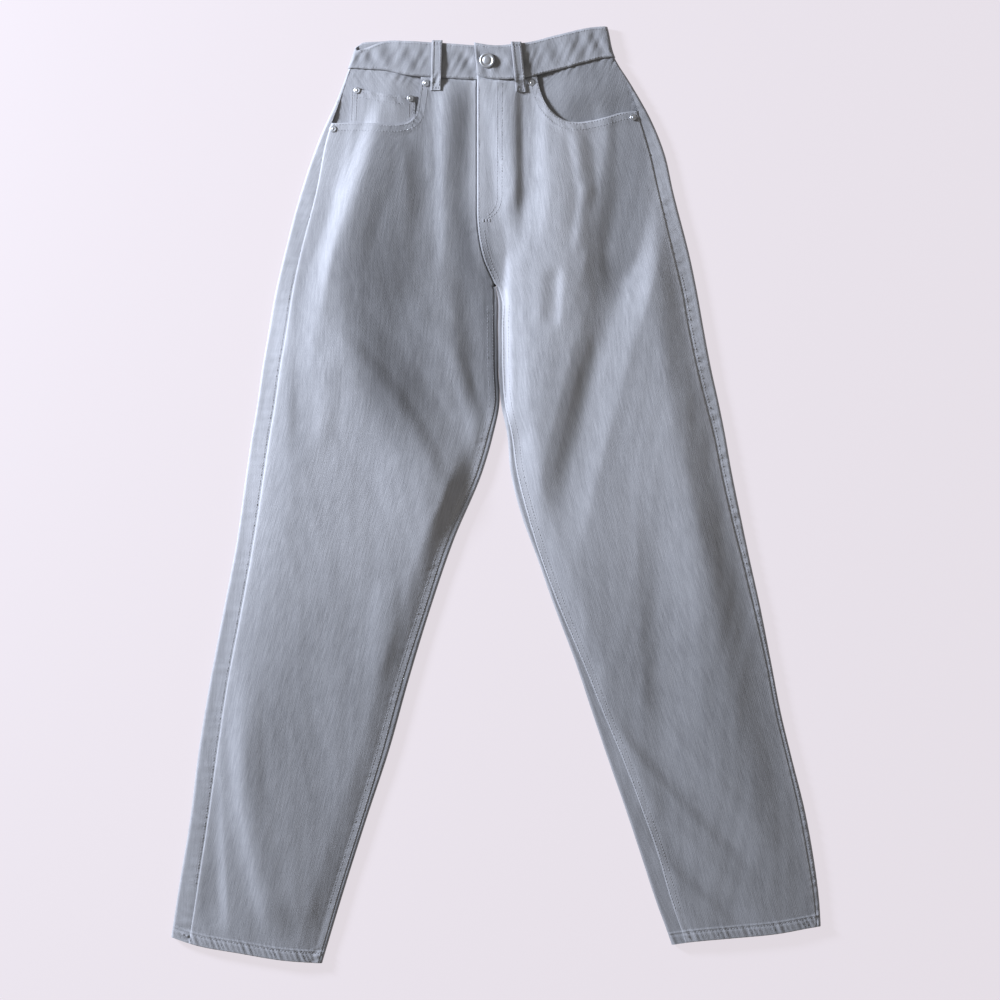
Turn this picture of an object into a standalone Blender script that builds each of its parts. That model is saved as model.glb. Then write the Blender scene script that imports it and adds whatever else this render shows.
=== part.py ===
"""Tapered jeans laid on their back, built as the separate pieces that are cut and sewn.

Tables and sizes are in millimetres. X runs towards the wearer's left, Y towards the waist
and Z up from the surface that the jeans lie on.
"""

import math
from typing import NamedTuple

import bmesh
import bpy
import numpy as np
from mathutils import Matrix, Vector

MM = 0.001

# Cloth and the space between pieces
CLOTH = 1.2
GAP = 0.3
WAIST_GAP = 0.6
HEM_EXTRA = 0.8
HEM_DEEP = 13.0
HEM_STEP = 1.5

# Folded edges at the sides
EDGE_RADIUS = 3.2
EDGE_HEIGHT = 2.0 * EDGE_RADIUS

# Waistband
BAND_CLOTH = 2.4
BAND_RISE = 1.2
BAND_OUT = 0.8
FLAP_RISE = 2.9
FLAP_FROM = 12.0
FLAP_TO = 46.0
UNDER_END_X = 6.0

# Fly
FLY_X = -22.0
FLY_WIDE = 32.0
FLY_RISE = 1.6
FLY_CORNER_RISE = 1.3
FLY_BOTTOM = 292.0
SHIELD_OFF = (-29.0, 18.0)
SHIELD_DROP = 1.6
ZIP_OFF = (-20.0, 6.0)
ZIP_CLOTH = 1.0

# Pocket mouth
MOUTH_DEPTH = 2.9
MOUTH_SHALLOW = 0.2
MOUTH_RAMP = 36.0
FACING_UNDER = 18.0
COIN_CLOTH = 1.0
COIN_GAP = 0.4
COIN_UNDER = 5.0

# Crotch and centre back
CROTCH_Y = 236.0
CROTCH_EASE = 24.0
CROTCH_SEAM_IN = 2.3
FORK_Y = 100.0
CENTRE_BACK_X = 1.0
STRAIGHT_TOP = 344.0
STRAIGHT_BOTTOM = -430.0
YOKE_CENTRE_Y = 398.0
YOKE_SIDE = {"right": 443.0, "left": 455.0}
SPARE_STEP = 0.06

# Plates that lie flush in the underside
FLUSH = 1.2
FLUSH_LIFT = FLUSH + GAP
FLUSH_EASE = 22.0

# Belt loops
LOOP_WIDE = 12.0
LOOP_CLOTH = 1.8
LOOP_BELOW = 15.0
LOOP_ARCH = 1.2

# Button and rivets
BUTTON_RADIUS = 8.5
BUTTON_HIGH = 2.6
RIVET_RADIUS = 3.8
RIVET_HIGH = 1.3
SEAT_GAP = 0.35

# Mesh steps
FRONT_COLUMNS = 16
MOUTH_COLUMNS = 11
BOTTOM_COLUMNS = 8
ARC_STEPS = 4
ROW_STEP = 30.0
TOP_STEPS = 4


class Section(NamedTuple):
    """One level of a leg: silhouette edges and how far in each seam lies."""

    y: float
    outer: float
    outseam: float
    inner: float
    inseam: float


class Level(NamedTuple):
    """How far the cloth stands above its edges at one level."""

    y: float
    full: float


class BandPoint(NamedTuple):
    """Top edge and lower seam of the waistband at one place."""

    x: float
    top: float
    seam: float


class Spot(NamedTuple):
    """A point on the surface that the jeans lie on."""

    x: float
    y: float


class Fold(NamedTuple):
    """A ridge between two ends, bowed sideways, with a width on each side of its crest."""

    x0: float
    y0: float
    x1: float
    y1: float
    bow: float
    high: float
    left: float
    right: float


RIGHT_SECTIONS = (
    Section(530, -150, 2, -23, 0),
    Section(510, -157, 2, -23, 0),
    Section(489, -164, 2, -23, 0),
    Section(446, -180, 4, -23, 0),
    Section(404, -199, 8, -23, 0),
    Section(344, -220, 17, -23, 0),
    Section(265, -241, 18, -14, 0),
    Section(231, -249, 19, 0, 4),
    Section(186, -257, 20, 1.7, 4),
    Section(139, -265, 20, 2.3, 4),
    Section(103, -270, 20, 3.5, 4),
    Section(68, -276, 20, -3.5, 5),
    Section(28, -282, 20, -15, 5),
    Section(-51, -293, 19, -48, 6),
    Section(-130, -308, 20, -75, 5),
    Section(-209, -323, 20, -99, 6),
    Section(-288, -336, 21, -121, 6),
    Section(-367, -346, 20, -147, 4),
    Section(-446, -359, 21, -172, 4),
    Section(-526, -371, 21, -196, 3.5),
    Section(-560, -376, 21, -206, 3.5),
)

LEFT_SECTIONS = (
    Section(545, 118, 2, -23, 0),
    Section(529, 124, 2, -23, 0),
    Section(494, 133, 2, -23, 0),
    Section(463, 152, 4, -23, 0),
    Section(424, 174, 12, -23, 0),
    Section(384, 190, 16, -23, 0),
    Section(344, 199, 16, -23, 0),
    Section(265, 219, 17, -14, 0),
    Section(231, 226, 16, 0, 4),
    Section(186, 234, 16, 1.7, 4),
    Section(139, 243, 15, 2.3, 4),
    Section(103, 251, 14, 5, 4),
    Section(68, 258, 12, 12, 4.5),
    Section(28, 265, 11, 15.5, 6.5),
    Section(-26, 276, 10, 29, 6.5),
    Section(-69, 285, 8, 45, 4),
    Section(-123, 297, 7, 64, 5),
    Section(-189, 310, 5, 89, 8),
    Section(-246, 321, 5, 108, 12),
    Section(-296, 333, 5, 125, 16),
    Section(-356, 348, 6, 146, 18),
    Section(-404, 357, 6, 162, 19),
    Section(-456, 364, 5, 179, 17),
    Section(-509, 367, 4.5, 198, 16),
    Section(-545, 370, 4.5, 208, 15),
)

FULLNESS = (
    Level(540, 1.5),
    Level(480, 1.6),
    Level(420, 3.4),
    Level(340, 6.5),
    Level(240, 8.5),
    Level(100, 8.5),
    Level(-60, 6.0),
    Level(-250, 4.2),
    Level(-420, 3.0),
    Level(-530, 1.6),
)

BAND_RIGHT = (
    BandPoint(-172, 499, 481.2),
    BandPoint(-165, 500, 481),
    BandPoint(-156, 501, 480.5),
    BandPoint(-143, 505, 479.5),
    BandPoint(-128, 510.5, 478.5),
    BandPoint(-100, 511, 472.5),
    BandPoint(-72, 509.5, 470.5),
    BandPoint(-42, 507.5, 468.5),
    BandPoint(-22, 506, 467.7),
    BandPoint(10, 505, 467.5),
)

BAND_LEFT = (
    BandPoint(-25, 509, 474),
    BandPoint(-14, 507, 469.5),
    BandPoint(-2, 505.7, 467.8),
    BandPoint(20, 507.5, 468),
    BandPoint(41, 510.6, 471.5),
    BandPoint(59, 515.5, 476),
    BandPoint(81, 521, 481.5),
    BandPoint(102, 526, 487.5),
    BandPoint(122, 528, 492.6),
    BandPoint(128, 528.2, 493.2),
    BandPoint(134, 528.5, 493.4),
)

BAND_BACK = (
    BandPoint(-172, 503, 481.2),
    BandPoint(-165, 504, 481),
    BandPoint(-156, 509, 480.5),
    BandPoint(-134, 511.7, 477),
    BandPoint(-60, 508, 470),
    BandPoint(0, 504, 467),
    BandPoint(50, 509, 472),
    BandPoint(90, 520, 484),
    BandPoint(122, 526, 492.6),
    BandPoint(128, 527, 493.2),
    BandPoint(134, 527.5, 493.4),
)

HEM_RIGHT = (
    Spot(-380, -494),
    Spot(-367, -498.5),
    Spot(-343, -506.5),
    Spot(-287, -517),
    Spot(-249, -523.5),
    Spot(-206, -527.5),
    Spot(-190, -528.5),
)

HEM_LEFT = (
    Spot(190, -508.5),
    Spot(219, -504),
    Spot(266, -499.5),
    Spot(314, -495),
    Spot(361, -487),
    Spot(375, -485),
)

# Mouths run from the outseam to the waist seam
MOUTH_RIGHT = (
    Spot(-187, 419),
    Spot(-167, 419.5),
    Spot(-146, 418.5),
    Spot(-125, 417),
    Spot(-107, 418),
    Spot(-97, 421.5),
    Spot(-91.5, 428),
    Spot(-89, 439),
    Spot(-86.5, 455),
    Spot(-85, 470.8),
)

MOUTH_LEFT = (
    Spot(157, 433),
    Spot(140, 431),
    Spot(124, 426),
    Spot(106, 421.5),
    Spot(89, 419.3),
    Spot(78, 420.6),
    Spot(68, 426),
    Spot(57, 438),
    Spot(50, 453),
    Spot(45.5, 471.5),
)

COIN_SIDES = (Spot(-164, 460), Spot(-166, 414), Spot(-91.5, 449.5), Spot(-92, 420))
COIN_TOP_SAG = 3.0

FOLDS = (
    # Centre valley, right thigh and right leg
    Fold(-30, 470, 5, -28, 6.8, -8, 169, 36),
    Fold(-114, 448, -208, 186, 0, 8, 27, 102),
    Fold(-245, 236, -32, -74, 29.4, 6.5, 70, 47),
    Fold(-283, -164, -216, -560, -22.6, 4.5, 29, 79),
    # Left thigh and left leg
    Fold(58, 491, 52, -28, 4.5, 4, 34, 52),
    Fold(179, 514, 124, 164, 15.8, -6.5, 52, 29),
    Fold(164, 288, 60, -108, -9, -3.6, 36, 29),
    Fold(187, 390, 307, -187, 0, -1.6, 34, 14),
    Fold(198, 175, 277, -514, 0, 3, 68, 90),
)

FOLD_ENDS = 0.3
LEAST_BODY = -1.4
FLY_ROOM = 3.4
BODY_EASE = 0.8
SIDE_RISE = 58.0
INNER_RISE = 36.0
CREST_ROUND = 0.25

# Underside plates: back pockets and the three belt loops behind
POCKET_TOP_WIDE = 132.0
POCKET_FOOT_WIDE = 112.0
POCKET_HIGH = 122.0
POCKET_POINT = 20.0
POCKET_CENTRES = {"right": Spot(-103, 312), "left": Spot(95, 314)}
POCKET_TILT = {"right": 5.0, "left": -5.0}
BACK_LOOPS = {"right": -98.0, "middle": 0.0, "left": 88.0}

RIVETS = (
    Spot(-184, 412.5),
    Spot(-79.5, 463.5),
    Spot(-157, 455.5),
    Spot(-97, 446.5),
    Spot(39.3, 464),
    Spot(154, 425.5),
)
COIN_RIVETS = (2, 3)
BUTTON = Spot(-10.7, 488.5)
FRONT_LOOPS = {
    "right": (Spot(-66.7, 511.5), Spot(-68.4, 470.5 - LOOP_BELOW)),
    "left": (Spot(22, 509.5), Spot(27.7, 468.5 - LOOP_BELOW)),
}


class Finish(NamedTuple):
    """Colour, roughness and metal of one material."""

    colour: tuple
    roughness: float
    metallic: float


FINISHES = {
    "washed_denim": Finish((0.36, 0.40, 0.47), 0.92, 0.0),
    "zip_tape_weave": Finish((0.10, 0.12, 0.17), 0.9, 0.0),
    "brushed_nickel": Finish((0.62, 0.63, 0.65), 0.35, 1.0),
}


def smoothstep(low, high, value):
    """Ease from 0 at low to 1 at high."""
    t = np.clip((np.asarray(value, dtype=float) - low) / (high - low), 0.0, 1.0)
    return t * t * (3.0 - 2.0 * t)


def read_curve(knots, values, at):
    """Read a smooth curve through knots in rising order; it runs on straight past its ends."""
    at = np.asarray(at, dtype=float)
    slopes = np.gradient(values, knots)
    spot = np.clip(np.searchsorted(knots, at) - 1, 0, len(knots) - 2)
    span = knots[spot + 1] - knots[spot]
    t = (at - knots[spot]) / span
    inside = np.clip(t, 0.0, 1.0)
    square = inside * inside
    cube = square * inside
    start = values[spot] * (2 * cube - 3 * square + 1) + slopes[spot] * span * (cube - 2 * square + inside)
    end = values[spot + 1] * (3 * square - 2 * cube) + slopes[spot + 1] * span * (cube - square)
    past = np.where(t < 0, t * slopes[spot], np.where(t > 1, (t - 1) * slopes[spot + 1], 0.0)) * span
    return start + end + past


def table_value(table, key, column, at):
    """Read a named column of a table against another of its columns."""
    rows = sorted(table, key=lambda row: getattr(row, key))
    knots = np.array([getattr(row, key) for row in rows], dtype=float)
    values = np.array([getattr(row, column) for row in rows], dtype=float)
    return read_curve(knots, values, at)


def path_points(spots, share):
    """Points on a smooth path through spots, at shares of its length."""
    xs = np.array([spot[0] for spot in spots], dtype=float)
    ys = np.array([spot[1] for spot in spots], dtype=float)
    lengths = np.concatenate(([0.0], np.cumsum(np.hypot(np.diff(xs), np.diff(ys)))))
    at = np.asarray(share, dtype=float) * lengths[-1]
    return read_curve(lengths, xs, at), read_curve(lengths, ys, at)


class Leg:
    """One half of the jeans, with the side it lies on and its tables."""

    def __init__(self, name, side, sections, hem, mouth, band):
        self.name = name
        self.side = side
        self.sections = sections
        self.hem_table = hem
        self.mouth = mouth
        self.band = band

    def outer(self, y):
        """X of the outer silhouette."""
        return table_value(self.sections, "y", "outer", y)

    def outseam(self, y):
        """How far the outseam lies in from the outer silhouette."""
        return table_value(self.sections, "y", "outseam", y)

    def inner(self, y):
        """X of the inner silhouette, or of the centre front above the crotch."""
        y = np.asarray(y, dtype=float)
        edge = table_value(self.sections, "y", "inner", y)
        touching = smoothstep(CROTCH_Y + 30.0, CROTCH_Y, y)
        return np.where(y > STRAIGHT_TOP - 30.0, FLY_X, edge) + self.side * touching * 0.5 * (GAP + 0.1)

    def inseam(self, y):
        """How far the inseam lies in from the inner silhouette."""
        y = np.asarray(y, dtype=float)
        opened = smoothstep(CROTCH_Y, CROTCH_Y - CROTCH_EASE, y)
        below = CROTCH_SEAM_IN + (table_value(self.sections, "y", "inseam", y) - CROTCH_SEAM_IN) * opened
        return np.where(y > CROTCH_Y, 0.5 * GAP, below)

    def hem(self, x):
        """Y of the hem's lower edge."""
        return table_value(self.hem_table, "x", "y", x)

    def waist_seam(self, x):
        """Y of the seam under the waistband, in front."""
        return table_value(self.band, "x", "seam", x)


RIGHT = Leg("right", -1, RIGHT_SECTIONS, HEM_RIGHT, MOUTH_RIGHT, BAND_RIGHT)
LEFT = Leg("left", 1, LEFT_SECTIONS, HEM_LEFT, MOUTH_LEFT, BAND_LEFT)


def fold_height(fold, x, y):
    """Height that one fold adds at each point."""
    run_x = fold.x1 - fold.x0
    run_y = fold.y1 - fold.y0
    length = math.hypot(run_x, run_y)
    dir_x = run_x / length
    dir_y = run_y / length
    share = ((x - fold.x0) * dir_x + (y - fold.y0) * dir_y) / length
    across = (x - fold.x0) * -dir_y + (y - fold.y0) * dir_x
    across = across - fold.bow * 4.0 * share * (1.0 - share)
    t = np.abs(across) / np.where(across < 0, fold.left, fold.right)
    tent = 1.0 - (np.sqrt(t * t + CREST_ROUND**2) - CREST_ROUND) / (math.sqrt(1 + CREST_ROUND**2) - CREST_ROUND)
    tent = np.clip(tent, 0.0, 1.0)
    tent = 0.5 * tent + 0.5 * tent * tent * (3.0 - 2.0 * tent)
    ends = smoothstep(0.0, FOLD_ENDS, share) * smoothstep(1.0, 1.0 - FOLD_ENDS, share)
    return fold.high * tent * ends


def relief(x, y):
    """Sum of all folds, eased where layers of cloth lie close together."""
    total = sum(fold_height(fold, x, y) for fold in FOLDS)
    calm_waist = 1.0 - 0.8 * smoothstep(408.0, 464.0, y)
    calm_hem = 1.0 - 0.7 * smoothstep(-460.0, -505.0, y)
    return total * calm_waist * calm_hem


def plain_top(leg, x, y):
    """Height of the cloth on top before its folded edges are rounded off."""
    out = leg.side * (leg.outer(y) - x)
    inn = leg.side * (x - leg.inner(y))
    rise_out = smoothstep(EDGE_RADIUS, SIDE_RISE, out)
    apart = smoothstep(FORK_Y + 4.0, FORK_Y - 40.0, y)
    rise_in = 1.0 - apart * (1.0 - smoothstep(EDGE_RADIUS, INNER_RISE, inn))
    body = table_value(FULLNESS, "y", "full", y) + relief(x, y)
    least = LEAST_BODY + FLY_ROOM * smoothstep(FLY_BOTTOM - 70.0, FLY_BOTTOM - 10.0, y)
    body = least + BODY_EASE * np.logaddexp(0.0, (body - least) / BODY_EASE)
    hem = HEM_EXTRA * smoothstep(HEM_DEEP + HEM_STEP, HEM_DEEP, y - leg.hem(x))
    return EDGE_HEIGHT + body * rise_out * rise_in + hem


def round_off(distance, half_height):
    """Drop of a folded edge at a distance in from its silhouette."""
    near = np.clip(1.0 - np.asarray(distance, dtype=float) / EDGE_RADIUS, 0.0, 1.0)
    return half_height * (1.0 - np.sqrt(1.0 - near * near))


def top_height(leg, x, y):
    """Height of the cloth's outer face on top."""
    top = plain_top(leg, x, y)
    out = leg.side * (leg.outer(y) - x)
    inn = leg.side * (x - leg.inner(y))
    split = smoothstep(CROTCH_Y, CROTCH_Y - CROTCH_EASE, y)
    return top - round_off(out, 0.5 * top) - split * round_off(inn, 0.5 * top)


def fly_rise(x, y):
    """Extra height of the left front where it covers the fly."""
    across = smoothstep(FLY_X + 2.0 * FLY_WIDE, FLY_X + FLY_WIDE, x)
    corner = smoothstep(16.0, 2.0, x) * smoothstep(446.0, 462.0, y)
    return (FLY_RISE * across + FLY_CORNER_RISE * corner) * smoothstep(FLY_BOTTOM - 50.0, FLY_BOTTOM, y)


def flap_rise(x):
    """Extra height of the waistband where its left end laps over the right end."""
    return FLAP_RISE * smoothstep(FLAP_TO, FLAP_FROM, x)


def cloth_at(y, leg, x):
    """Wall of a panel, thicker in the hem."""
    return CLOTH + HEM_EXTRA * smoothstep(HEM_DEEP + HEM_STEP, HEM_DEEP, y - leg.hem(x))


def mouth_distance(leg, x, y):
    """Distance out from the pocket mouth; it is negative where the front panel covers."""
    path_x, path_y = path_points(leg.mouth, np.linspace(0.0, 1.0, 40))
    best = np.full(np.shape(x), 1e9)
    sign = np.ones(np.shape(x))
    for index in range(len(path_x) - 1):
        ax, ay = path_x[index], path_y[index]
        bx, by = path_x[index + 1], path_y[index + 1]
        length = math.hypot(bx - ax, by - ay)
        ux, uy = (bx - ax) / length, (by - ay) / length
        along = np.clip((x - ax) * ux + (y - ay) * uy, 0.0, length)
        gap = np.hypot(x - ax - along * ux, y - ay - along * uy)
        cross = (ux * (y - ay) - uy * (x - ax)) * -leg.side
        nearer = gap < best
        best = np.where(nearer, gap, best)
        sign = np.where(nearer, np.sign(cross), sign)
    return best * sign


def facing_depth(leg, x, y):
    """How far the facing's outer face lies below the front's outer face."""
    out = mouth_distance(leg, x, y)
    return MOUTH_SHALLOW + (MOUTH_DEPTH - MOUTH_SHALLOW) * smoothstep(MOUTH_RAMP, 0.0, out)


def pocket_frame(name, x, y):
    """Turn points into one back pocket's own across and down directions."""
    centre = POCKET_CENTRES[name]
    turn = math.radians(POCKET_TILT[name])
    across = (x - centre.x) * math.cos(turn) + (y - centre.y) * math.sin(turn)
    up = (y - centre.y) * math.cos(turn) - (x - centre.x) * math.sin(turn)
    return across, up


def underside_lift(x, y):
    """Height of the underside where a plate lies flush below it."""
    x = np.asarray(x, dtype=float)
    y = np.asarray(y, dtype=float)
    lift = np.zeros(np.broadcast(x, y).shape)
    for name in POCKET_CENTRES:
        across, up = pocket_frame(name, x, y)
        over_side = np.abs(across) - 0.5 * POCKET_TOP_WIDE
        over_end = np.abs(up + 0.5 * POCKET_POINT) - 0.5 * (POCKET_HIGH + POCKET_POINT)
        outside = np.maximum(over_side, over_end)
        lift = np.maximum(lift, smoothstep(2.0 * FLUSH_EASE, FLUSH_EASE, outside))
    for loop_x in BACK_LOOPS.values():
        over_side = np.abs(x - loop_x) - 0.5 * LOOP_WIDE
        over_end = (float(table_value(BAND_BACK, "x", "seam", loop_x)) - LOOP_BELOW) - y
        outside = np.maximum(over_side, over_end)
        lift = np.maximum(lift, smoothstep(2.0 * FLUSH_EASE, FLUSH_EASE, outside))
    return FLUSH_LIFT * lift


def make_object(name, bm, finish):
    """Write a mesh out in metres as a named object with its own material."""
    bmesh.ops.recalc_face_normals(bm, faces=bm.faces[:])
    bmesh.ops.scale(bm, vec=(MM, MM, MM), verts=bm.verts[:])
    mesh = bpy.data.meshes.new(name)
    bm.to_mesh(mesh)
    bm.free()
    look = FINISHES[finish]
    material = bpy.data.materials.new(name + "_" + finish)
    material.use_nodes = True
    shader = material.node_tree.nodes["Principled BSDF"]
    shader.inputs["Base Color"].default_value = (*look.colour, 1.0)
    shader.inputs["Roughness"].default_value = look.roughness
    shader.inputs["Metallic"].default_value = look.metallic
    mesh.materials.append(material)
    obj = bpy.data.objects.new(name, mesh)
    bpy.context.scene.collection.objects.link(obj)
    return obj


def make_sheet(name, outer, inward, finish="washed_denim"):
    """Close a sheet of cloth from its outer face and the way to its inner face.

    Both are grids of points with the same rows and columns.
    """
    rows, columns = outer.shape[:2]
    bm = bmesh.new()
    bmesh.ops.create_grid(bm, x_segments=columns - 1, y_segments=rows - 1, size=0.5)
    place = bm.verts.layers.int.new("place")
    flat_outer = outer.reshape(-1, 3)
    flat_inward = inward.reshape(-1, 3)
    for vert in bm.verts:
        column = round((vert.co.x + 0.5) * (columns - 1))
        row = round((vert.co.y + 0.5) * (rows - 1))
        vert[place] = row * columns + column
        vert.co = Vector(flat_outer[vert[place]])
    wall = bmesh.ops.extrude_face_region(bm, geom=bm.faces[:], use_keep_orig=True)
    for item in wall["geom"]:
        if isinstance(item, bmesh.types.BMVert):
            item.co += Vector(flat_inward[item[place]])
    return make_object(name, bm, finish)


def straight_down(outer, depth):
    """The way to the inner face for a sheet whose wall is measured straight down."""
    inward = np.zeros_like(outer)
    inward[..., 2] = -depth
    return inward


def straight_levels():
    """Heights of the level rows that front and back panels share, closer at the crotch."""
    upper = np.linspace(STRAIGHT_TOP, CROTCH_Y + 1.5, 5)
    lower = np.linspace(CROTCH_Y - 1.5, STRAIGHT_BOTTOM, round((CROTCH_Y - STRAIGHT_BOTTOM) / ROW_STEP))
    return list(upper) + [lower[0]] + [lower[0] - 0.5 * CROTCH_EASE] + list(lower[1:])


ABOVE_HEM = (36.0, HEM_DEEP + HEM_STEP, HEM_DEEP, 0.0)


def outseam_levels(leg):
    """Heights at the outseam of the rows between the pocket mouth and the level rows."""
    return np.linspace(leg.mouth[0].y, STRAIGHT_TOP, TOP_STEPS + 1)[:-1]


def solve_edge(level, edge):
    """Point where a row meets an edge that depends on its height."""
    x = float(edge(level(edge(0.0))))
    for _ in range(6):
        y = float(level(x))
        x = float(edge(y))
    return x, float(level(x))


def front_panel(leg):
    """Front panel from the pocket mouth and waist seam to the hem."""
    share = np.linspace(0.0, 1.0, FRONT_COLUMNS + 1)
    on_mouth = share[: MOUTH_COLUMNS + 1] * FRONT_COLUMNS / MOUTH_COLUMNS
    mouth_x, mouth_y = path_points(leg.mouth, on_mouth)
    corner = mouth_x[-1]
    centre = FLY_X + leg.side * 0.5 * GAP
    waist_x = np.linspace(corner, centre, FRONT_COLUMNS - MOUTH_COLUMNS + 1)[1:]
    top_x = np.concatenate((mouth_x, waist_x))
    top_y = np.concatenate((mouth_y, leg.waist_seam(waist_x) - WAIST_GAP))
    top_y[MOUTH_COLUMNS] = leg.waist_seam(corner) - WAIST_GAP

    def outseam_x(y):
        return leg.outer(y) - leg.side * (leg.outseam(y) + 0.5 * GAP)

    def inner_x(y):
        return leg.inner(y) + leg.side * (leg.inseam(y) + 0.5 * GAP * (np.asarray(y) < CROTCH_Y))

    def level_row(level):
        outer_end, _ = solve_edge(level, outseam_x)
        inner_end, _ = solve_edge(level, inner_x)
        x = outer_end + (inner_end - outer_end) * share
        return x, level(x)

    base_x, base_y = level_row(lambda x: STRAIGHT_TOP + 0.0 * x)
    rows = []
    for t in np.linspace(0.0, 1.0, TOP_STEPS + 1)[:-1]:
        x = (1 - t) * top_x + t * base_x
        y = (1 - t) * top_y + t * base_y
        x = x + (1 - share) ** 4 * (outseam_x(y[0]) - x[0])
        rows.append((x, y))
    rows += [level_row(lambda x, y=y: y + 0.0 * x) for y in straight_levels()]
    rows += [level_row(lambda x, up=up: leg.hem(x) + up) for up in ABOVE_HEM]
    x = np.array([row[0] for row in rows])
    y = np.array([row[1] for row in rows])
    z = top_height(leg, x, y)
    if leg is LEFT:
        z = z + fly_rise(x, y)
    outer = np.stack((x, y, z), axis=-1)
    make_sheet("front_panel_" + leg.name, outer, straight_down(outer, cloth_at(y, leg, x)))


def folded_edge(leg, level, edge, seam, inward_side):
    """Part of a row from a seam on top to the underside, round a folded edge.

    Each entry is a point followed by the way to the inner face.
    """
    edge_x, edge_y = solve_edge(level, edge)
    seam_x, _ = solve_edge(level, seam)
    thick = float(cloth_at(edge_y, leg, edge_x))
    seam_in = abs(seam_x - edge_x)
    start = math.acos(1.0 - min(EDGE_RADIUS, 0.3 * seam_in) / EDGE_RADIUS)
    side_height = float(top_height(leg, edge_x, edge_y))
    strip = []
    for share in (1.0, 0.6):
        x = edge_x + (seam_x - edge_x) * share
        y = float(level(x))
        strip.append((x, y, float(top_height(leg, x, y)), 0.0, 0.0, -thick))
    for angle in np.linspace(start, -0.5 * math.pi, ARC_STEPS + 1):
        x = edge_x + inward_side * EDGE_RADIUS * (1.0 - math.cos(angle))
        y = float(level(x))
        z = float(top_height(leg, x, y)) if angle > 0 else side_height * (1.0 + math.sin(angle))
        strip.append((x, y, z, inward_side * thick * math.cos(angle), 0.0, -thick * math.sin(angle)))
    return strip


def underside(level, start_x, end_x, thick):
    """Part of a row along the underside, without its first point."""
    entries = []
    for x in np.linspace(start_x, end_x, BOTTOM_COLUMNS + 1)[1:]:
        y = float(level(x))
        entries.append((x, y, float(underside_lift(x, y)), 0.0, 0.0, thick))
    return entries


def wrap_row(leg, level, inner_end=None):
    """One row of a back piece: in from the outseam, round the side and along the back.

    Without an inner end the row goes on round the inner edge to the inseam. With one it ends
    there, and its last points lie close together, so that all rows have the same number.
    """

    def outseam(y):
        return leg.outer(y) - leg.side * (leg.outseam(y) - 0.5 * GAP)

    def inseam(y):
        return leg.inner(y) + leg.side * (leg.inseam(y) - 0.5 * GAP)

    row = folded_edge(leg, level, leg.outer, outseam, -leg.side)
    thick = abs(row[-1][-1])
    if inner_end is None:
        inner = folded_edge(leg, level, leg.inner, inseam, leg.side)
        row += underside(level, row[-1][0], inner[-1][0], thick)
        row += inner[-2::-1]
        return row
    spare = ARC_STEPS + 2
    row += underside(level, row[-1][0], inner_end + leg.side * SPARE_STEP * spare, thick)
    lift = row[-1][2]
    for index in range(spare):
        x = inner_end + leg.side * SPARE_STEP * (spare - 1 - index)
        row.append((x, float(level(x)), lift, 0.0, 0.0, thick))
    return row


def make_wrap(name, rows):
    """Build a back piece from its rows."""
    grid = np.array(rows)
    make_sheet(name, grid[..., :3], grid[..., 3:])


def yoke_seam(leg, x):
    """Y of the seam between yoke and back panel, straight from the side to the centre back."""
    side_y = YOKE_SIDE[leg.name]
    side_x = float(leg.outer(side_y))
    return side_y + (YOKE_CENTRE_Y - side_y) * (x - side_x) / (CENTRE_BACK_X - side_x)


def back_panel(leg):
    """Back panel from the yoke to the hem, wrapping round both edges of the leg."""
    centre = CENTRE_BACK_X + leg.side * 0.5 * GAP

    def top_level(x, share):
        return (1 - share) * (yoke_seam(leg, x) - 0.5 * GAP) + share * STRAIGHT_TOP

    rows = [wrap_row(leg, lambda x: top_level(x, 0.0), centre)]
    for y in outseam_levels(leg):
        seam_x = leg.outer(y) - leg.side * leg.outseam(y)
        start = float(top_level(seam_x, 0.0))
        share = (start - y) / (start - STRAIGHT_TOP)
        rows.append(wrap_row(leg, lambda x, share=share: top_level(x, share), centre))
    for y in straight_levels():
        inner_end = centre if y > CROTCH_Y else None
        rows.append(wrap_row(leg, lambda x, y=y: y + 0.0 * x, inner_end))
    for up in ABOVE_HEM:
        rows.append(wrap_row(leg, lambda x, up=up: leg.hem(x) + up))
    make_wrap("back_panel_" + leg.name, rows)


def yoke(leg):
    """Yoke between the waistband and the back panel, wrapping round the side to the facing."""
    centre = CENTRE_BACK_X + leg.side * 0.5 * GAP
    rows = []
    for t in np.linspace(0.0, 1.0, 5):

        def level(x, t=t):
            seam = table_value(BAND_BACK, "x", "seam", x) - WAIST_GAP
            return (1 - t) * seam + t * (yoke_seam(leg, x) + 0.5 * GAP)

        rows.append(wrap_row(leg, level, centre)[: -ARC_STEPS - 2])
    make_wrap("yoke_" + leg.name, rows)


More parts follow.
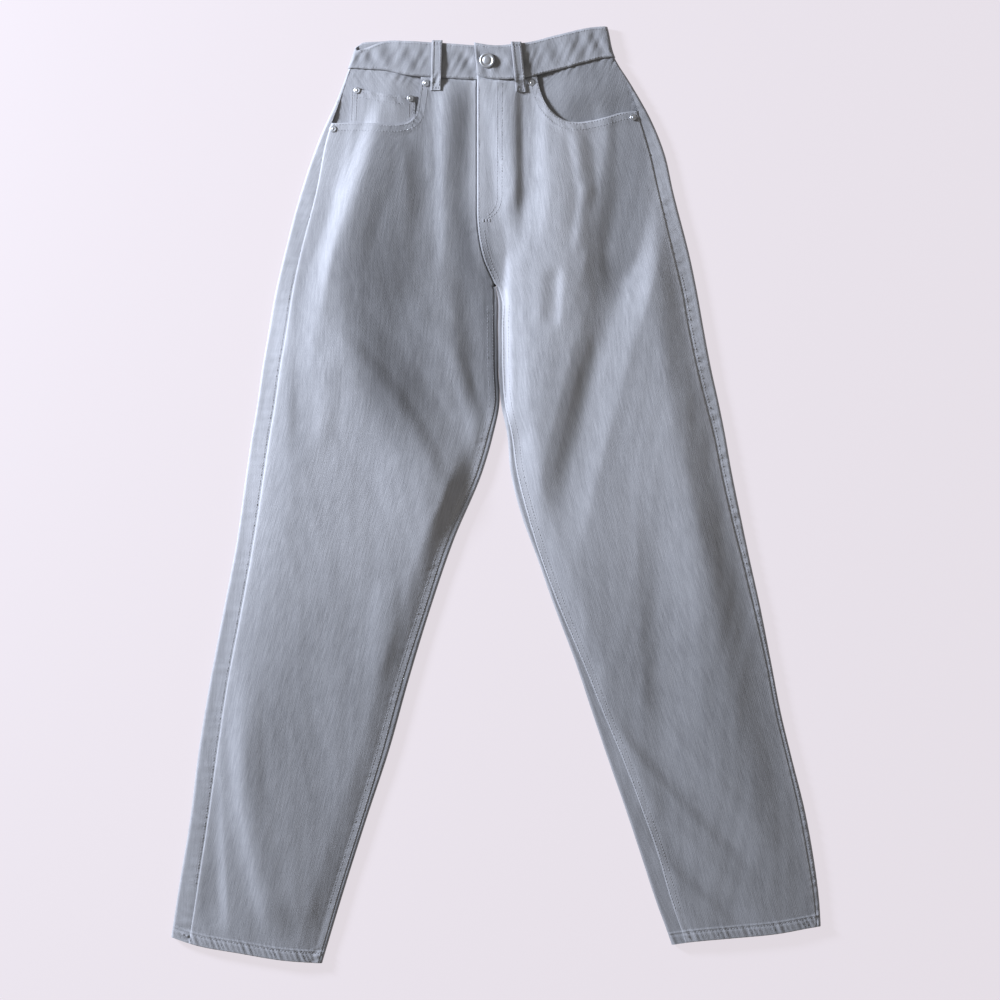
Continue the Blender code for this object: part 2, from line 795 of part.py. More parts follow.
def hip_facing(leg):
    """Facing behind the pocket mouth, from the waist seam and outseam to under the panel."""
    columns = 20
    half = columns // 2
    corner_y = float(leg.waist_seam(leg.outer(486.0))) - WAIST_GAP

    def outseam_x(y):
        return leg.outer(y) - leg.side * (leg.outseam(y) + 0.5 * GAP)

    waist_end = leg.mouth[-1].x - leg.side * FACING_UNDER
    corner_x = float(outseam_x(corner_y))
    waist_x = np.linspace(waist_end, corner_x, half + 1)
    side_y = np.linspace(corner_y, leg.mouth[0].y - FACING_UNDER, half + 1)[1:]
    top_x = np.concatenate((waist_x, outseam_x(side_y)))
    top_y = np.concatenate((leg.waist_seam(waist_x) - WAIST_GAP, side_y))
    mouth_x, mouth_y = path_points(leg.mouth[::-1], np.linspace(0.0, 1.0, columns + 1))
    slope_x = np.gradient(mouth_x)
    slope_y = np.gradient(mouth_y)
    length = np.hypot(slope_x, slope_y)
    under_x = mouth_x + leg.side * FACING_UNDER * slope_y / length
    under_y = mouth_y - leg.side * FACING_UNDER * slope_x / length
    ease = np.linspace(0.0, 1.0, columns + 1)
    under_x = under_x + (1 - ease) ** 6 * (waist_end - under_x[0])
    under_y = under_y + (1 - ease) ** 6 * (leg.waist_seam(waist_end) - 18.0 - under_y[0])
    under_x = under_x + ease**6 * (outseam_x(side_y[-1]) - leg.side * 14.0 - under_x[-1])
    under_y = under_y + ease**6 * (side_y[-1] - 2.0 - under_y[-1])
    rows = []
    for t in np.linspace(0.0, 1.0, 8):
        rows.append(((1 - t) * top_x + t * under_x, (1 - t) * top_y + t * under_y))
    x = np.array([row[0] for row in rows])
    y = np.array([row[1] for row in rows])
    z = top_height(leg, x, y) - facing_depth(leg, x, y)
    outer = np.stack((x, y, z), axis=-1)
    make_sheet("hip_facing_" + leg.name, outer, straight_down(outer, CLOTH))


def coin_pocket():
    """Coin pocket on the right facing, running down under the front panel's edge."""
    outer_top, outer_foot, inner_top, inner_foot = COIN_SIDES
    across = np.linspace(0.0, 1.0, 10)
    path_x, path_y = path_points(MOUTH_RIGHT, np.linspace(0.0, 0.7, 60))
    rows = []
    for down in np.linspace(0.0, 1.0, 7):
        outer_x = outer_top.x + (outer_foot.x - outer_top.x) * down
        inner_x = inner_top.x + (inner_foot.x - inner_top.x) * down
        x = outer_x + (inner_x - outer_x) * across
        top = outer_top.y + (inner_top.y - outer_top.y) * across - COIN_TOP_SAG * 4 * across * (1 - across)
        foot = np.interp(x, path_x, path_y) - COIN_UNDER
        rows.append((x, top + (foot - top) * down))
    x = np.array([row[0] for row in rows])
    y = np.array([row[1] for row in rows])
    z = top_height(RIGHT, x, y) - facing_depth(RIGHT, x, y) + COIN_GAP + COIN_CLOTH
    outer = np.stack((x, y, z), axis=-1)
    make_sheet("coin_pocket", outer, straight_down(outer, COIN_CLOTH))


def fly_pieces():
    """Shield and zip tape that lie under the left front's edge."""
    for name, span, drop, cloth, finish, top_in in (
        ("fly_shield", SHIELD_OFF, SHIELD_DROP, CLOTH, "washed_denim", 1.0),
        ("zip_tape", ZIP_OFF, 0.1, ZIP_CLOTH, "zip_tape_weave", 3.0),
    ):
        share = np.linspace(0.0, 1.0, 5)
        rows = []
        for down in np.linspace(0.0, 1.0, 9):
            x = span[0] + (span[1] - span[0]) * share
            top = RIGHT.waist_seam(x) - GAP - top_in
            rows.append((x, top + (FLY_BOTTOM + 6.0 - top) * down))
        x = np.array([row[0] for row in rows])
        y = np.array([row[1] for row in rows])
        z = top_height(RIGHT, x, y) - drop
        outer = np.stack((x, y, z), axis=-1)
        make_sheet(name, outer, straight_down(outer, cloth), finish)


def band_top(leg, x, y):
    """Outer height of the waistband in front."""
    rise = flap_rise(x) if leg is LEFT else 0.0
    return top_height(leg, x, y) + BAND_RISE + rise


def waistband():
    """Waistband as one strip, from its under end round the back to the flap."""
    down = np.linspace(0.0, 1.0, 4)

    def edge_at(leg, y):
        return leg.outer(y) + leg.side * BAND_OUT

    def front_stations(leg, table, free_top, free_foot, steps):
        stations = []
        fold_top = float(edge_at(leg, 505.0)) - leg.side * (EDGE_RADIUS + BAND_OUT)
        top_y = float(table_value(table, "x", "top", fold_top))
        foot_y = float(table_value(table, "x", "seam", fold_top))
        fold_top = float(edge_at(leg, top_y)) - leg.side * (EDGE_RADIUS + BAND_OUT)
        fold_foot = float(edge_at(leg, foot_y)) - leg.side * (EDGE_RADIUS + BAND_OUT)
        for t in np.linspace(0.0, 1.0, steps + 1):
            xt = free_top + (fold_top - free_top) * t
            xf = free_foot + (fold_foot - free_foot) * t
            yt = float(table_value(table, "x", "top", xt))
            yf = float(table_value(table, "x", "seam", xf))
            x = xt + (xf - xt) * down
            y = yt + (yf - yt) * down
            z = plain_top(leg, x, y) + BAND_RISE
            if leg is LEFT:
                z = z + flap_rise(x)
            outer = np.stack((x, y, z), axis=-1)
            stations.append((outer, straight_down(outer, BAND_CLOTH)))
        return stations

    def fold_stations(leg, front, back_top, back_foot):
        stations = []
        radius = EDGE_RADIUS + BAND_OUT
        y_front = front[:, 1]
        half = 0.5 * front[:, 2]
        y_back = back_top + (back_foot - back_top) * down
        for angle in np.linspace(0.5 * math.pi, -0.5 * math.pi, 7)[1:]:
            t = (0.5 * math.pi - angle) / math.pi
            y = y_front + (y_back - y_front) * t
            x = edge_at(leg, y) - leg.side * radius * (1.0 - math.cos(angle))
            z = half * (1.0 + math.sin(angle))
            way = np.zeros((len(down), 3))
            way[:, 0] = -leg.side * BAND_CLOTH * math.cos(angle)
            way[:, 2] = -BAND_CLOTH * math.sin(angle)
            stations.append((np.stack((x, y, z), axis=-1), way))
        return stations

    right_front = front_stations(RIGHT, BAND_RIGHT, UNDER_END_X, UNDER_END_X, 11)
    left_front = front_stations(LEFT, BAND_LEFT, -25.4, -22.0, 12)
    back_ends = {}
    for leg in (RIGHT, LEFT):
        x = float(leg.outer(500.0)) - leg.side * EDGE_RADIUS
        back_ends[leg.name] = (
            float(table_value(BAND_BACK, "x", "top", x)),
            float(table_value(BAND_BACK, "x", "seam", x)),
        )
    right_fold = fold_stations(RIGHT, right_front[-1][0], *back_ends["right"])
    left_fold = fold_stations(LEFT, left_front[-1][0], *back_ends["left"])
    start = right_fold[-1][0]
    end = left_fold[-1][0]
    back = []
    for t in np.linspace(0.0, 1.0, 15)[1:-1]:
        x = start[:, 0] + (end[:, 0] - start[:, 0]) * t
        yt = float(table_value(BAND_BACK, "x", "top", x[0]))
        yf = float(table_value(BAND_BACK, "x", "seam", x[-1]))
        y = yt + (yf - yt) * down
        outer = np.stack((x, y, underside_lift(x, y)), axis=-1)
        back.append((outer, straight_down(outer, -BAND_CLOTH)))
    columns = right_front + right_fold + back + left_fold[::-1] + left_front[::-1]
    outer = np.stack([station[0] for station in columns], axis=1)
    inward = np.stack([station[1] for station in columns], axis=1)
    make_sheet("waistband", outer, inward)


def front_surface(leg, x, y):
    """Outer face in front, of the waistband above its seam and of the panel below it."""
    seam = leg.waist_seam(x)
    on_band = smoothstep(seam - 7.0, seam - 1.0, y)
    rise = flap_rise(x) if leg is LEFT else 0.0 * x
    fly = fly_rise(x, y) if leg is LEFT else 0.0 * x
    return top_height(leg, x, y) + np.maximum(on_band * (BAND_RISE + rise), fly)


def front_loop(leg):
    """Belt loop in front, standing on the waistband and sewn down below it."""
    top, foot = FRONT_LOOPS[leg.name]
    down = np.linspace(0.0, 1.0, 9)
    across = np.array([-0.5, 0.0, 0.5]) * LOOP_WIDE
    centre_x = top.x + (foot.x - top.x) * down
    centre_y = top.y + (foot.y - top.y) * down
    x = centre_x[:, None] + across[None, :]
    y = centre_y[:, None] + 0.0 * across[None, :]
    arch = LOOP_ARCH * np.sin(math.pi * np.clip(down, 0.0, 0.95) / 0.95)
    z = front_surface(leg, x, y) + SEAT_GAP + arch[:, None] + LOOP_CLOTH
    outer = np.stack((x, y, z), axis=-1)
    make_sheet("belt_loop_front_" + leg.name, outer, straight_down(outer, LOOP_CLOTH))


def back_loop(name, loop_x):
    """Belt loop behind, lying flush in the underside."""
    top = float(table_value(BAND_BACK, "x", "top", loop_x))
    foot = float(table_value(BAND_BACK, "x", "seam", loop_x)) - LOOP_BELOW
    x, y = np.meshgrid(loop_x + np.array([-0.5, 0.5]) * LOOP_WIDE, np.linspace(top, foot, 3))
    outer = np.stack((x, y, 0.0 * x), axis=-1)
    make_sheet("belt_loop_back_" + name, outer, straight_down(outer, -FLUSH))


def back_pocket(name):
    """Plain patch pocket with a blunt point, lying flush in the underside."""
    centre = POCKET_CENTRES[name]
    turn = math.radians(POCKET_TILT[name])
    share = np.linspace(-1.0, 1.0, 7)
    rows = []
    for down in np.linspace(0.0, 1.0, 5):
        wide = POCKET_TOP_WIDE + (POCKET_FOOT_WIDE - POCKET_TOP_WIDE) * down
        across = 0.5 * wide * share
        point = POCKET_POINT * (1.0 - np.abs(share)) * down
        up = 0.5 * POCKET_HIGH - POCKET_HIGH * down - point
        x = centre.x + across * math.cos(turn) - up * math.sin(turn)
        y = centre.y + up * math.cos(turn) + across * math.sin(turn)
        rows.append(np.stack((x, y, 0.0 * x), axis=-1))
    outer = np.array(rows)
    make_sheet("back_pocket_" + name, outer, straight_down(outer, -FLUSH))


def stud(name, leg, spot, radius, high, surface, segments, rim):
    """Round metal piece seated square to the cloth, with a raised rim."""
    x, y = spot
    base = float(surface(leg, np.float64(x), np.float64(y)))
    reach = 0.7 * radius
    slope_x = (surface(leg, x + reach, y) - surface(leg, x - reach, y)) / (2 * reach)
    slope_y = (surface(leg, x, y + reach) - surface(leg, x, y - reach)) / (2 * reach)
    normal = Vector((-float(slope_x), -float(slope_y), 1.0)).normalized()
    bm = bmesh.new()
    made = bmesh.ops.create_circle(bm, cap_ends=True, segments=segments, radius=radius)
    face = made["verts"][0].link_faces[0]
    lifted = bmesh.ops.extrude_face_region(bm, geom=[face], use_keep_orig=True)
    cap = [item for item in lifted["geom"] if isinstance(item, bmesh.types.BMFace)][0]
    bmesh.ops.translate(bm, vec=(0.0, 0.0, 0.6 * high), verts=cap.verts[:])
    for inset, rise in rim:
        bmesh.ops.inset_region(bm, faces=[cap], thickness=inset * radius)
        bmesh.ops.translate(bm, vec=(0.0, 0.0, rise * high), verts=cap.verts[:])
    turn = normal.to_track_quat("Z", "Y").to_matrix().to_4x4()
    seat = Vector((x, y, base)) + normal * SEAT_GAP
    bmesh.ops.transform(bm, matrix=Matrix.Translation(seat) @ turn, verts=bm.verts[:])
    make_object(name, bm, "brushed_nickel")


def facing_surface(leg, x, y):
    """Outer face of the coin pocket."""
    return top_height(leg, x, y) - facing_depth(leg, x, y) + COIN_GAP + COIN_CLOTH


def panel_surface(leg, x, y):
    """Outer face of a front panel."""
    return top_height(leg, x, y) + (fly_rise(x, y) if leg is LEFT else 0.0)


def trim():
    """Loops, pockets behind, button and rivets."""
    front_loop(RIGHT)
    front_loop(LEFT)
    for name, loop_x in BACK_LOOPS.items():
        back_loop(name, loop_x)
    for name in POCKET_CENTRES:
        back_pocket(name)
    button_rim = ((0.12, 0.4), (0.16, -0.2), (0.2, 0.0), (0.14, 0.16))
    stud("waist_button", LEFT, BUTTON, BUTTON_RADIUS, BUTTON_HIGH, band_top, 20, button_rim)
    for index, spot in enumerate(RIVETS):
        leg = LEFT if spot.x > 0 else RIGHT
        surface = facing_surface if index in COIN_RIVETS else panel_surface
        stud(f"rivet_{index + 1}", leg, spot, RIVET_RADIUS, RIVET_HIGH, surface, 10, ((0.3, 0.4),))


def settle(objects):
    """Move everything so that the jeans' box is centred over the origin and rests on zero."""
    corners = [vert.co for obj in objects for vert in obj.data.vertices]
    low = Vector([min(corner[axis] for corner in corners) for axis in range(3)])
    high = Vector([max(corner[axis] for corner in corners) for axis in range(3)])
    shift = Vector((-0.5 * (low.x + high.x), -0.5 * (low.y + high.y), -low.z))
    for obj in objects:
        obj.data.transform(Matrix.Translation(shift))


def main():
    for obj in list(bpy.data.objects):
        bpy.data.objects.remove(obj)
    for leg in (RIGHT, LEFT):
        front_panel(leg)
        back_panel(leg)
        yoke(leg)
        hip_facing(leg)
    coin_pocket()
    fly_pieces()
    waistband()
    trim()
    settle(list(bpy.context.scene.collection.objects))


main()
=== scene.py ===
"""Looks of the tapered jeans: fine cloth, seams, stitches, metal trim, floor, light and camera.

Lengths in the tables and size classes are millimetres, as in the part's source, and every
mesh is written in metres. X runs towards the wearer's left, Y towards the waist and Z up.
"""

import logging
import math
from dataclasses import dataclass, field
from enum import Enum
from typing import Callable, NamedTuple, Sequence

import bmesh
import bpy
import numpy as np
from mathutils import Matrix, Vector


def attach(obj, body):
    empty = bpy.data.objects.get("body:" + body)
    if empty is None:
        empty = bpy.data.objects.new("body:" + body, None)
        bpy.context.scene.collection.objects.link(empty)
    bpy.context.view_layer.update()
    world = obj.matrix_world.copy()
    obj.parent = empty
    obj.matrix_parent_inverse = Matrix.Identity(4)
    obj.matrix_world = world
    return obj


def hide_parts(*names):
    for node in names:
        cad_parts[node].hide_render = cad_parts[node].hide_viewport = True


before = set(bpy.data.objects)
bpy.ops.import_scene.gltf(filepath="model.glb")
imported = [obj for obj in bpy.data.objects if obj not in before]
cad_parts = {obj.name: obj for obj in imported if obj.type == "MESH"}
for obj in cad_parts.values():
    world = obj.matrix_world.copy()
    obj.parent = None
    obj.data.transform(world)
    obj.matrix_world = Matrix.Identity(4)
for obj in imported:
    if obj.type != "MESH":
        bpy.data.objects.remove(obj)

LOG = logging.getLogger("jeans")
MM = 0.001

Array = np.ndarray
Height = Callable[[Array, Array], Array]


class Side(Enum):
    """Half of the jeans; the value is the way along X from the centre to the outseam."""

    RIGHT = -1
    LEFT = 1

    @property
    def word(self) -> str:
        """Name used in the frame's nodes."""
        return self.name.lower()


class Section(NamedTuple):
    """One level of a leg: silhouette edges and how far in each seam lies."""

    y: float
    outer: float
    outseam: float
    inner: float
    inseam: float


class Level(NamedTuple):
    """How far the cloth stands above its edges at one level."""

    y: float
    full: float


class BandPoint(NamedTuple):
    """Top edge and lower seam of the waistband at one place."""

    x: float
    top: float
    seam: float


class Spot(NamedTuple):
    """A point on the surface that the jeans lie on."""

    x: float
    y: float


class Fold(NamedTuple):
    """A ridge between two ends, bowed sideways, with a width on each side of its crest."""

    x0: float
    y0: float
    x1: float
    y1: float
    bow: float
    high: float
    left: float
    right: float


# The part's own tables
RIGHT_SECTIONS = (
    Section(530, -150, 2, -23, 0),
    Section(510, -157, 2, -23, 0),
    Section(489, -164, 2, -23, 0),
    Section(446, -180, 4, -23, 0),
    Section(404, -199, 8, -23, 0),
    Section(344, -220, 17, -23, 0),
    Section(265, -241, 18, -14, 0),
    Section(231, -249, 19, 0, 4),
    Section(186, -257, 20, 1.7, 4),
    Section(139, -265, 20, 2.3, 4),
    Section(103, -270, 20, 3.5, 4),
    Section(68, -276, 20, -3.5, 5),
    Section(28, -282, 20, -15, 5),
    Section(-51, -293, 19, -48, 6),
    Section(-130, -308, 20, -75, 5),
    Section(-209, -323, 20, -99, 6),
    Section(-288, -336, 21, -121, 6),
    Section(-367, -346, 20, -147, 4),
    Section(-446, -359, 21, -172, 4),
    Section(-526, -371, 21, -196, 3.5),
    Section(-560, -376, 21, -206, 3.5),
)

LEFT_SECTIONS = (
    Section(545, 118, 2, -23, 0),
    Section(529, 124, 2, -23, 0),
    Section(494, 133, 2, -23, 0),
    Section(463, 152, 4, -23, 0),
    Section(424, 174, 12, -23, 0),
    Section(384, 190, 16, -23, 0),
    Section(344, 199, 16, -23, 0),
    Section(265, 219, 17, -14, 0),
    Section(231, 226, 16, 0, 4),
    Section(186, 234, 16, 1.7, 4),
    Section(139, 243, 15, 2.3, 4),
    Section(103, 251, 14, 5, 4),
    Section(68, 258, 12, 12, 4.5),
    Section(28, 265, 11, 15.5, 6.5),
    Section(-26, 276, 10, 29, 6.5),
    Section(-69, 285, 8, 45, 4),
    Section(-123, 297, 7, 64, 5),
    Section(-189, 310, 5, 89, 8),
    Section(-246, 321, 5, 108, 12),
    Section(-296, 333, 5, 125, 16),
    Section(-356, 348, 6, 146, 18),
    Section(-404, 357, 6, 162, 19),
    Section(-456, 364, 5, 179, 17),
    Section(-509, 367, 4.5, 198, 16),
    Section(-545, 370, 4.5, 208, 15),
)

FULLNESS = (
    Level(540, 1.5),
    Level(480, 1.6),
    Level(420, 3.4),
    Level(340, 6.5),
    Level(240, 8.5),
    Level(100, 8.5),
    Level(-60, 6.0),
    Level(-250, 4.2),
    Level(-420, 3.0),
    Level(-530, 1.6),
)

BAND_RIGHT = (
    BandPoint(-172, 499, 481.2),
    BandPoint(-165, 500, 481),
    BandPoint(-156, 501, 480.5),
    BandPoint(-143, 505, 479.5),
    BandPoint(-128, 510.5, 478.5),
    BandPoint(-100, 511, 472.5),
    BandPoint(-72, 509.5, 470.5),
    BandPoint(-42, 507.5, 468.5),
    BandPoint(-22, 506, 467.7),
    BandPoint(10, 505, 467.5),
)

BAND_LEFT = (
    BandPoint(-25, 509, 474),
    BandPoint(-14, 507, 469.5),
    BandPoint(-2, 505.7, 467.8),
    BandPoint(20, 507.5, 468),
    BandPoint(41, 510.6, 471.5),
    BandPoint(59, 515.5, 476),
    BandPoint(81, 521, 481.5),
    BandPoint(102, 526, 487.5),
    BandPoint(122, 528, 492.6),
    BandPoint(128, 528.2, 493.2),
    BandPoint(134, 528.5, 493.4),
)

BAND_BACK = (
    BandPoint(-172, 503, 481.2),
    BandPoint(-165, 504, 481),
    BandPoint(-156, 509, 480.5),
    BandPoint(-134, 511.7, 477),
    BandPoint(-60, 508, 470),
    BandPoint(0, 504, 467),
    BandPoint(50, 509, 472),
    BandPoint(90, 520, 484),
    BandPoint(122, 526, 492.6),
    BandPoint(128, 527, 493.2),
    BandPoint(134, 527.5, 493.4),
)

HEM_RIGHT = (
    Spot(-380, -494),
    Spot(-367, -498.5),
    Spot(-343, -506.5),
    Spot(-287, -517),
    Spot(-249, -523.5),
    Spot(-206, -527.5),
    Spot(-190, -528.5),
)

HEM_LEFT = (
    Spot(190, -508.5),
    Spot(219, -504),
    Spot(266, -499.5),
    Spot(314, -495),
    Spot(361, -487),
    Spot(375, -485),
)

# Mouths run from the outseam to the waist seam
MOUTH_RIGHT = (
    Spot(-187, 419),
    Spot(-167, 419.5),
    Spot(-146, 418.5),
    Spot(-125, 417),
    Spot(-107, 418),
    Spot(-97, 421.5),
    Spot(-91.5, 428),
    Spot(-89, 439),
    Spot(-86.5, 455),
    Spot(-85, 470.8),
)

MOUTH_LEFT = (
    Spot(157, 433),
    Spot(140, 431),
    Spot(124, 426),
    Spot(106, 421.5),
    Spot(89, 419.3),
    Spot(78, 420.6),
    Spot(68, 426),
    Spot(57, 438),
    Spot(50, 453),
    Spot(45.5, 471.5),
)

COIN_SIDES = (Spot(-164, 460), Spot(-166, 414), Spot(-91.5, 449.5), Spot(-92, 420))
COIN_TOP_SAG = 3.0

FOLDS = (
    # Centre valley, right thigh and right leg
    Fold(-30, 470, 5, -28, 6.8, -8, 169, 36),
    Fold(-114, 448, -208, 186, 0, 8, 27, 102),
    Fold(-245, 236, -32, -74, 29.4, 6.5, 70, 47),
    Fold(-283, -164, -216, -560, -22.6, 4.5, 29, 79),
    # Left thigh and left leg
    Fold(58, 491, 52, -28, 4.5, 4, 34, 52),
    Fold(179, 514, 124, 164, 15.8, -6.5, 52, 29),
    Fold(164, 288, 60, -108, -9, -3.6, 36, 29),
    Fold(187, 390, 307, -187, 0, -1.6, 34, 14),
    Fold(198, 175, 277, -514, 0, 3, 68, 90),
)


# Belt loops: width, reach below the waist seam, bow, space under them and share of the length bowed
LOOP_WIDE = 12.0
LOOP_BELOW = 15.0
LOOP_ARCH = 1.2
LOOP_SEAT = 0.35
LOOP_BOWED = 0.95

# Underside plates: back pockets and the three belt loops behind
POCKET_TOP_WIDE = 132.0
POCKET_FOOT_WIDE = 112.0
POCKET_HIGH = 122.0
POCKET_POINT = 20.0
POCKET_CENTRES = {"right": Spot(-103, 312), "left": Spot(95, 314)}
POCKET_TILT = {"right": 5.0, "left": -5.0}
BACK_LOOPS = {"right": -98.0, "middle": 0.0, "left": 88.0}

RIVETS = (
    Spot(-184, 412.5),
    Spot(-79.5, 463.5),
    Spot(-157, 455.5),
    Spot(-97, 446.5),
    Spot(39.3, 464),
    Spot(154, 425.5),
)
COIN_RIVETS = (2, 3)
BUTTON = Spot(-10.7, 488.5)
FRONT_LOOPS = {
    "right": (Spot(-66.7, 511.5), Spot(-68.4, 470.5 - LOOP_BELOW)),
    "left": (Spot(22, 509.5), Spot(27.7, 468.5 - LOOP_BELOW)),
}

# Soft folds too fine for the solids
FINE_FOLDS = (
    Fold(-3, 318, 6, 39, 0, -4, 56, 16),
    Fold(-184, 424, -202, 316, 0, -3, 14, 14),
    Fold(-56, 503, -55, 237, 0, 4.6, 16, 29),
    Fold(-50, 169, -7, 28, 0, 1.8, 14, 13),
    Fold(-118, -85, -134, -221, 0, 1.5, 20, 16),
    Fold(-319, -96, -308, -571, -9, -5, 38, 14),
    Fold(-290, -119, -222, -582, -24.9, 1.8, 14, 27),
    Fold(18, 514, 20, 294, 0, 3, 34, 11),
    Fold(36, 356, 13, 248, 0, -2.4, 18, 16),
    Fold(67, 263, 63, 181, 0, -2.2, 16, 9),
    Fold(179, 28, 194, -322, 0, -2.5, 25, 45),
    Fold(100, -196, 315, -435, -9, -3.2, 15, 34),
    Fold(131, -334, 315, -509, -5.6, -3, 14, 25),
    Fold(-220, 288, -225, 17, 0, -2, 11, 18),
    Fold(-222, 207, -55, -28, 24.9, 3.2, 90, 20),
    Fold(-111, 491, -193, 231, 0, 2.6, 15, 38),
    Fold(-166, 480, -215, 164, 0, -4, 45, 14),
    Fold(182, 537, 117, 169, 13.6, -4, 45, 17),
    Fold(140, 231, 65, -40, -6.8, -1, 16, 14),
    Fold(55, 503, 59, 263, 4.5, 3.2, 19, 50),
    Fold(4, 328, 7, 62, 0, -5, 27, 10),
    Fold(85, 424, 99, 316, 3.4, 1.5, 11, 16),
    Fold(106, 367, 89, 263, 0, 1.3, 10, 14),
    Fold(-30, 277, 1, 73, 6.8, -3, 38, 11),
    Fold(-86, 412, -77, 288, 0, -1.4, 20, 10),
    Fold(-111, 220, -30, 139, 6.8, 1.3, 16, 23),
    Fold(-188, 169, -197, 39, 0, 1.3, 14, 18),
    Fold(219, 28, 237, -187, 0, 1.5, 41, 38),
)

# Painted shade and painted light: patches where the cloth's colour is made darker or paler to stand in for
# shade and light on its folds, and darker towards the hems; strength stands where a fold has its height
PAINTED_SHADE_AND_LIGHT = (
    Fold(-89, 548, -115, -40, 0, -0.26, 90, 90),
    Fold(-188, 356, -86, 17, -15.8, -0.2, 27, 102),
    Fold(-19, 356, 6, 39, 0, -0.4, 50, 9),
    Fold(-41, 525, -30, 186, 0, -0.2, 20, 14),
    Fold(-2, 28, -2, -853, 0, -0.25, 1017, 1017),
    Fold(88, 537, 67, 85, 0, 0.26, 41, 45),
    Fold(158, 525, 131, 186, 13.6, -0.27, 52, 25),
    Fold(-199, 390, -240, -51, 0, -0.2, 34, 34),
    Fold(-5, 316, 6, 51, 0, -0.3, 20, 8),
)


class PuckerRow(NamedTuple):
    """Dents along a seam: how far off it they are deepest, their length, pattern and strength."""

    off: float
    pitch: float
    seed: float
    strength: float


SEAM_PUCKERS = {
    "outseam": PuckerRow(-6.0, 11.0, 1.3, 1.5),
    "inseam": PuckerRow(5.0, 9.0, 2.1, 0.7),
    "hem": PuckerRow(7.0, 6.0, 0.4, 1.7),
    "waist": PuckerRow(3.0, 9.0, 3.3, 0.9),
}


@dataclass(frozen=True)
class ClothSizes:
    """Thickness of the cloth, its folded edges and its hems, in millimetres."""

    wall: float = 1.2
    gap: float = 0.12
    waist_gap: float = 0.25
    hem_extra: float = 0.8
    hem_deep: float = 13.0
    hem_step: float = 1.5
    edge_radius: float = 3.2
    fold_ends: float = 0.3
    crest_round: float = 0.25
    least_body: float = -3.0
    fly_room: float = 5.0
    body_ease: float = 0.8
    side_rise: float = 58.0
    inner_rise: float = 36.0
    flush: float = 1.2
    flush_ease: float = 9.0


@dataclass(frozen=True)
class PatternSizes:
    """Where the pieces of the jeans meet, in millimetres."""

    centre_front_x: float = -22.0
    centre_back_x: float = 1.0
    crotch_y: float = 236.0
    crotch_ease: float = 24.0
    crotch_seam_in: float = 2.3
    fork_y: float = 100.0
    straight_top: float = 344.0
    straight_bottom: float = -430.0
    yoke_centre_y: float = 398.0
    yoke_side_right: float = 443.0
    yoke_side_left: float = 455.0
    settle_x: float = 0.6423
    settle_y: float = 0.0648


@dataclass(frozen=True)
class FlySizes:
    """The lapped fly, in millimetres."""

    wide: float = 32.0
    rise: float = 1.6
    corner_rise: float = 1.3
    bottom: float = 292.0
    stitch_in: float = 28.0
    dent: float = 0.5
    dent_reach: float = 5.0
    dent_pitch: float = 9.0
    edge_dent: float = 0.3
    edge_reach: float = 8.0
    edge_pitch: float = 12.0


@dataclass(frozen=True)
class MouthSizes:
    """Depth and slope of the facing behind a pocket mouth, in millimetres."""

    depth: float = 2.9
    shallow: float = 0.2
    ramp: float = 36.0
    under: float = 18.0
    turned: float = 0.45
    turned_from: float = 12.5
    turned_to: float = 10.0
    dent: float = 0.5
    dent_in: float = 6.0
    dent_reach: float = 4.0
    dent_pitch: float = 8.0


@dataclass(frozen=True)
class BandSizes:
    """The waistband and its lapped end, in millimetres."""

    wall: float = 2.4
    rise: float = 1.2
    out: float = 0.8
    flap_rise: float = 2.9
    flap_from: float = 12.0
    flap_to: float = 46.0
    under_end_x: float = 6.0
    flap_top_x: float = -25.4
    flap_foot_x: float = -22.0
    deep: float = 36.0
    crease: float = 0.75
    crease_pitch: float = 21.0
    cross_crease: float = 0.5
    cross_pitch: float = 12.0
    edge_wave: float = 0.3
    edge_pitch: float = 5.5


@dataclass(frozen=True)
class PuckerSizes:
    """Small regular dents that the stitches draw into the cloth, in millimetres."""

    high: float = 0.55
    reach: float = 7.0
    seam_dip: float = 0.12
    seam_reach: float = 2.2
    stitch_dip: float = 0.55
    hem_stitch_in: float = 11.0
    hem_stitch_reach: float = 1.7
    inseam_stitch_in: float = 8.0
    inseam_stitch_reach: float = 2.0
    inseam_stitch_share: float = 0.6


@dataclass(frozen=True)
class CalmSizes:
    """Where the folds ease off, in millimetres along Y, and the share of them that goes."""

    waist_from: float = 408.0
    waist_to: float = 464.0
    waist_share: float = 0.8
    hem_from: float = -460.0
    hem_to: float = -505.0
    hem_share: float = 0.7
    fine_from: float = 446.0
    fine_to: float = 476.0
    fine_share: float = 0.7


CLOTH = ClothSizes()
PATTERN = PatternSizes()
FLY = FlySizes()
MOUTH = MouthSizes()
BAND = BandSizes()
PUCKER = PuckerSizes()
CALM = CalmSizes()


def smoothstep(low: float, high: float, value: Array) -> Array:
    """Ease from 0 at low to 1 at high.

    Args:
        low: Value where the result is 0.
        high: Value where the result is 1; it may be less than low.
        value: Values to ease.

    Returns:
        The eased values, from 0 to 1.
    """
    t = np.clip((np.asarray(value, dtype=float) - low) / (high - low), 0.0, 1.0)
    return t * t * (3.0 - 2.0 * t)


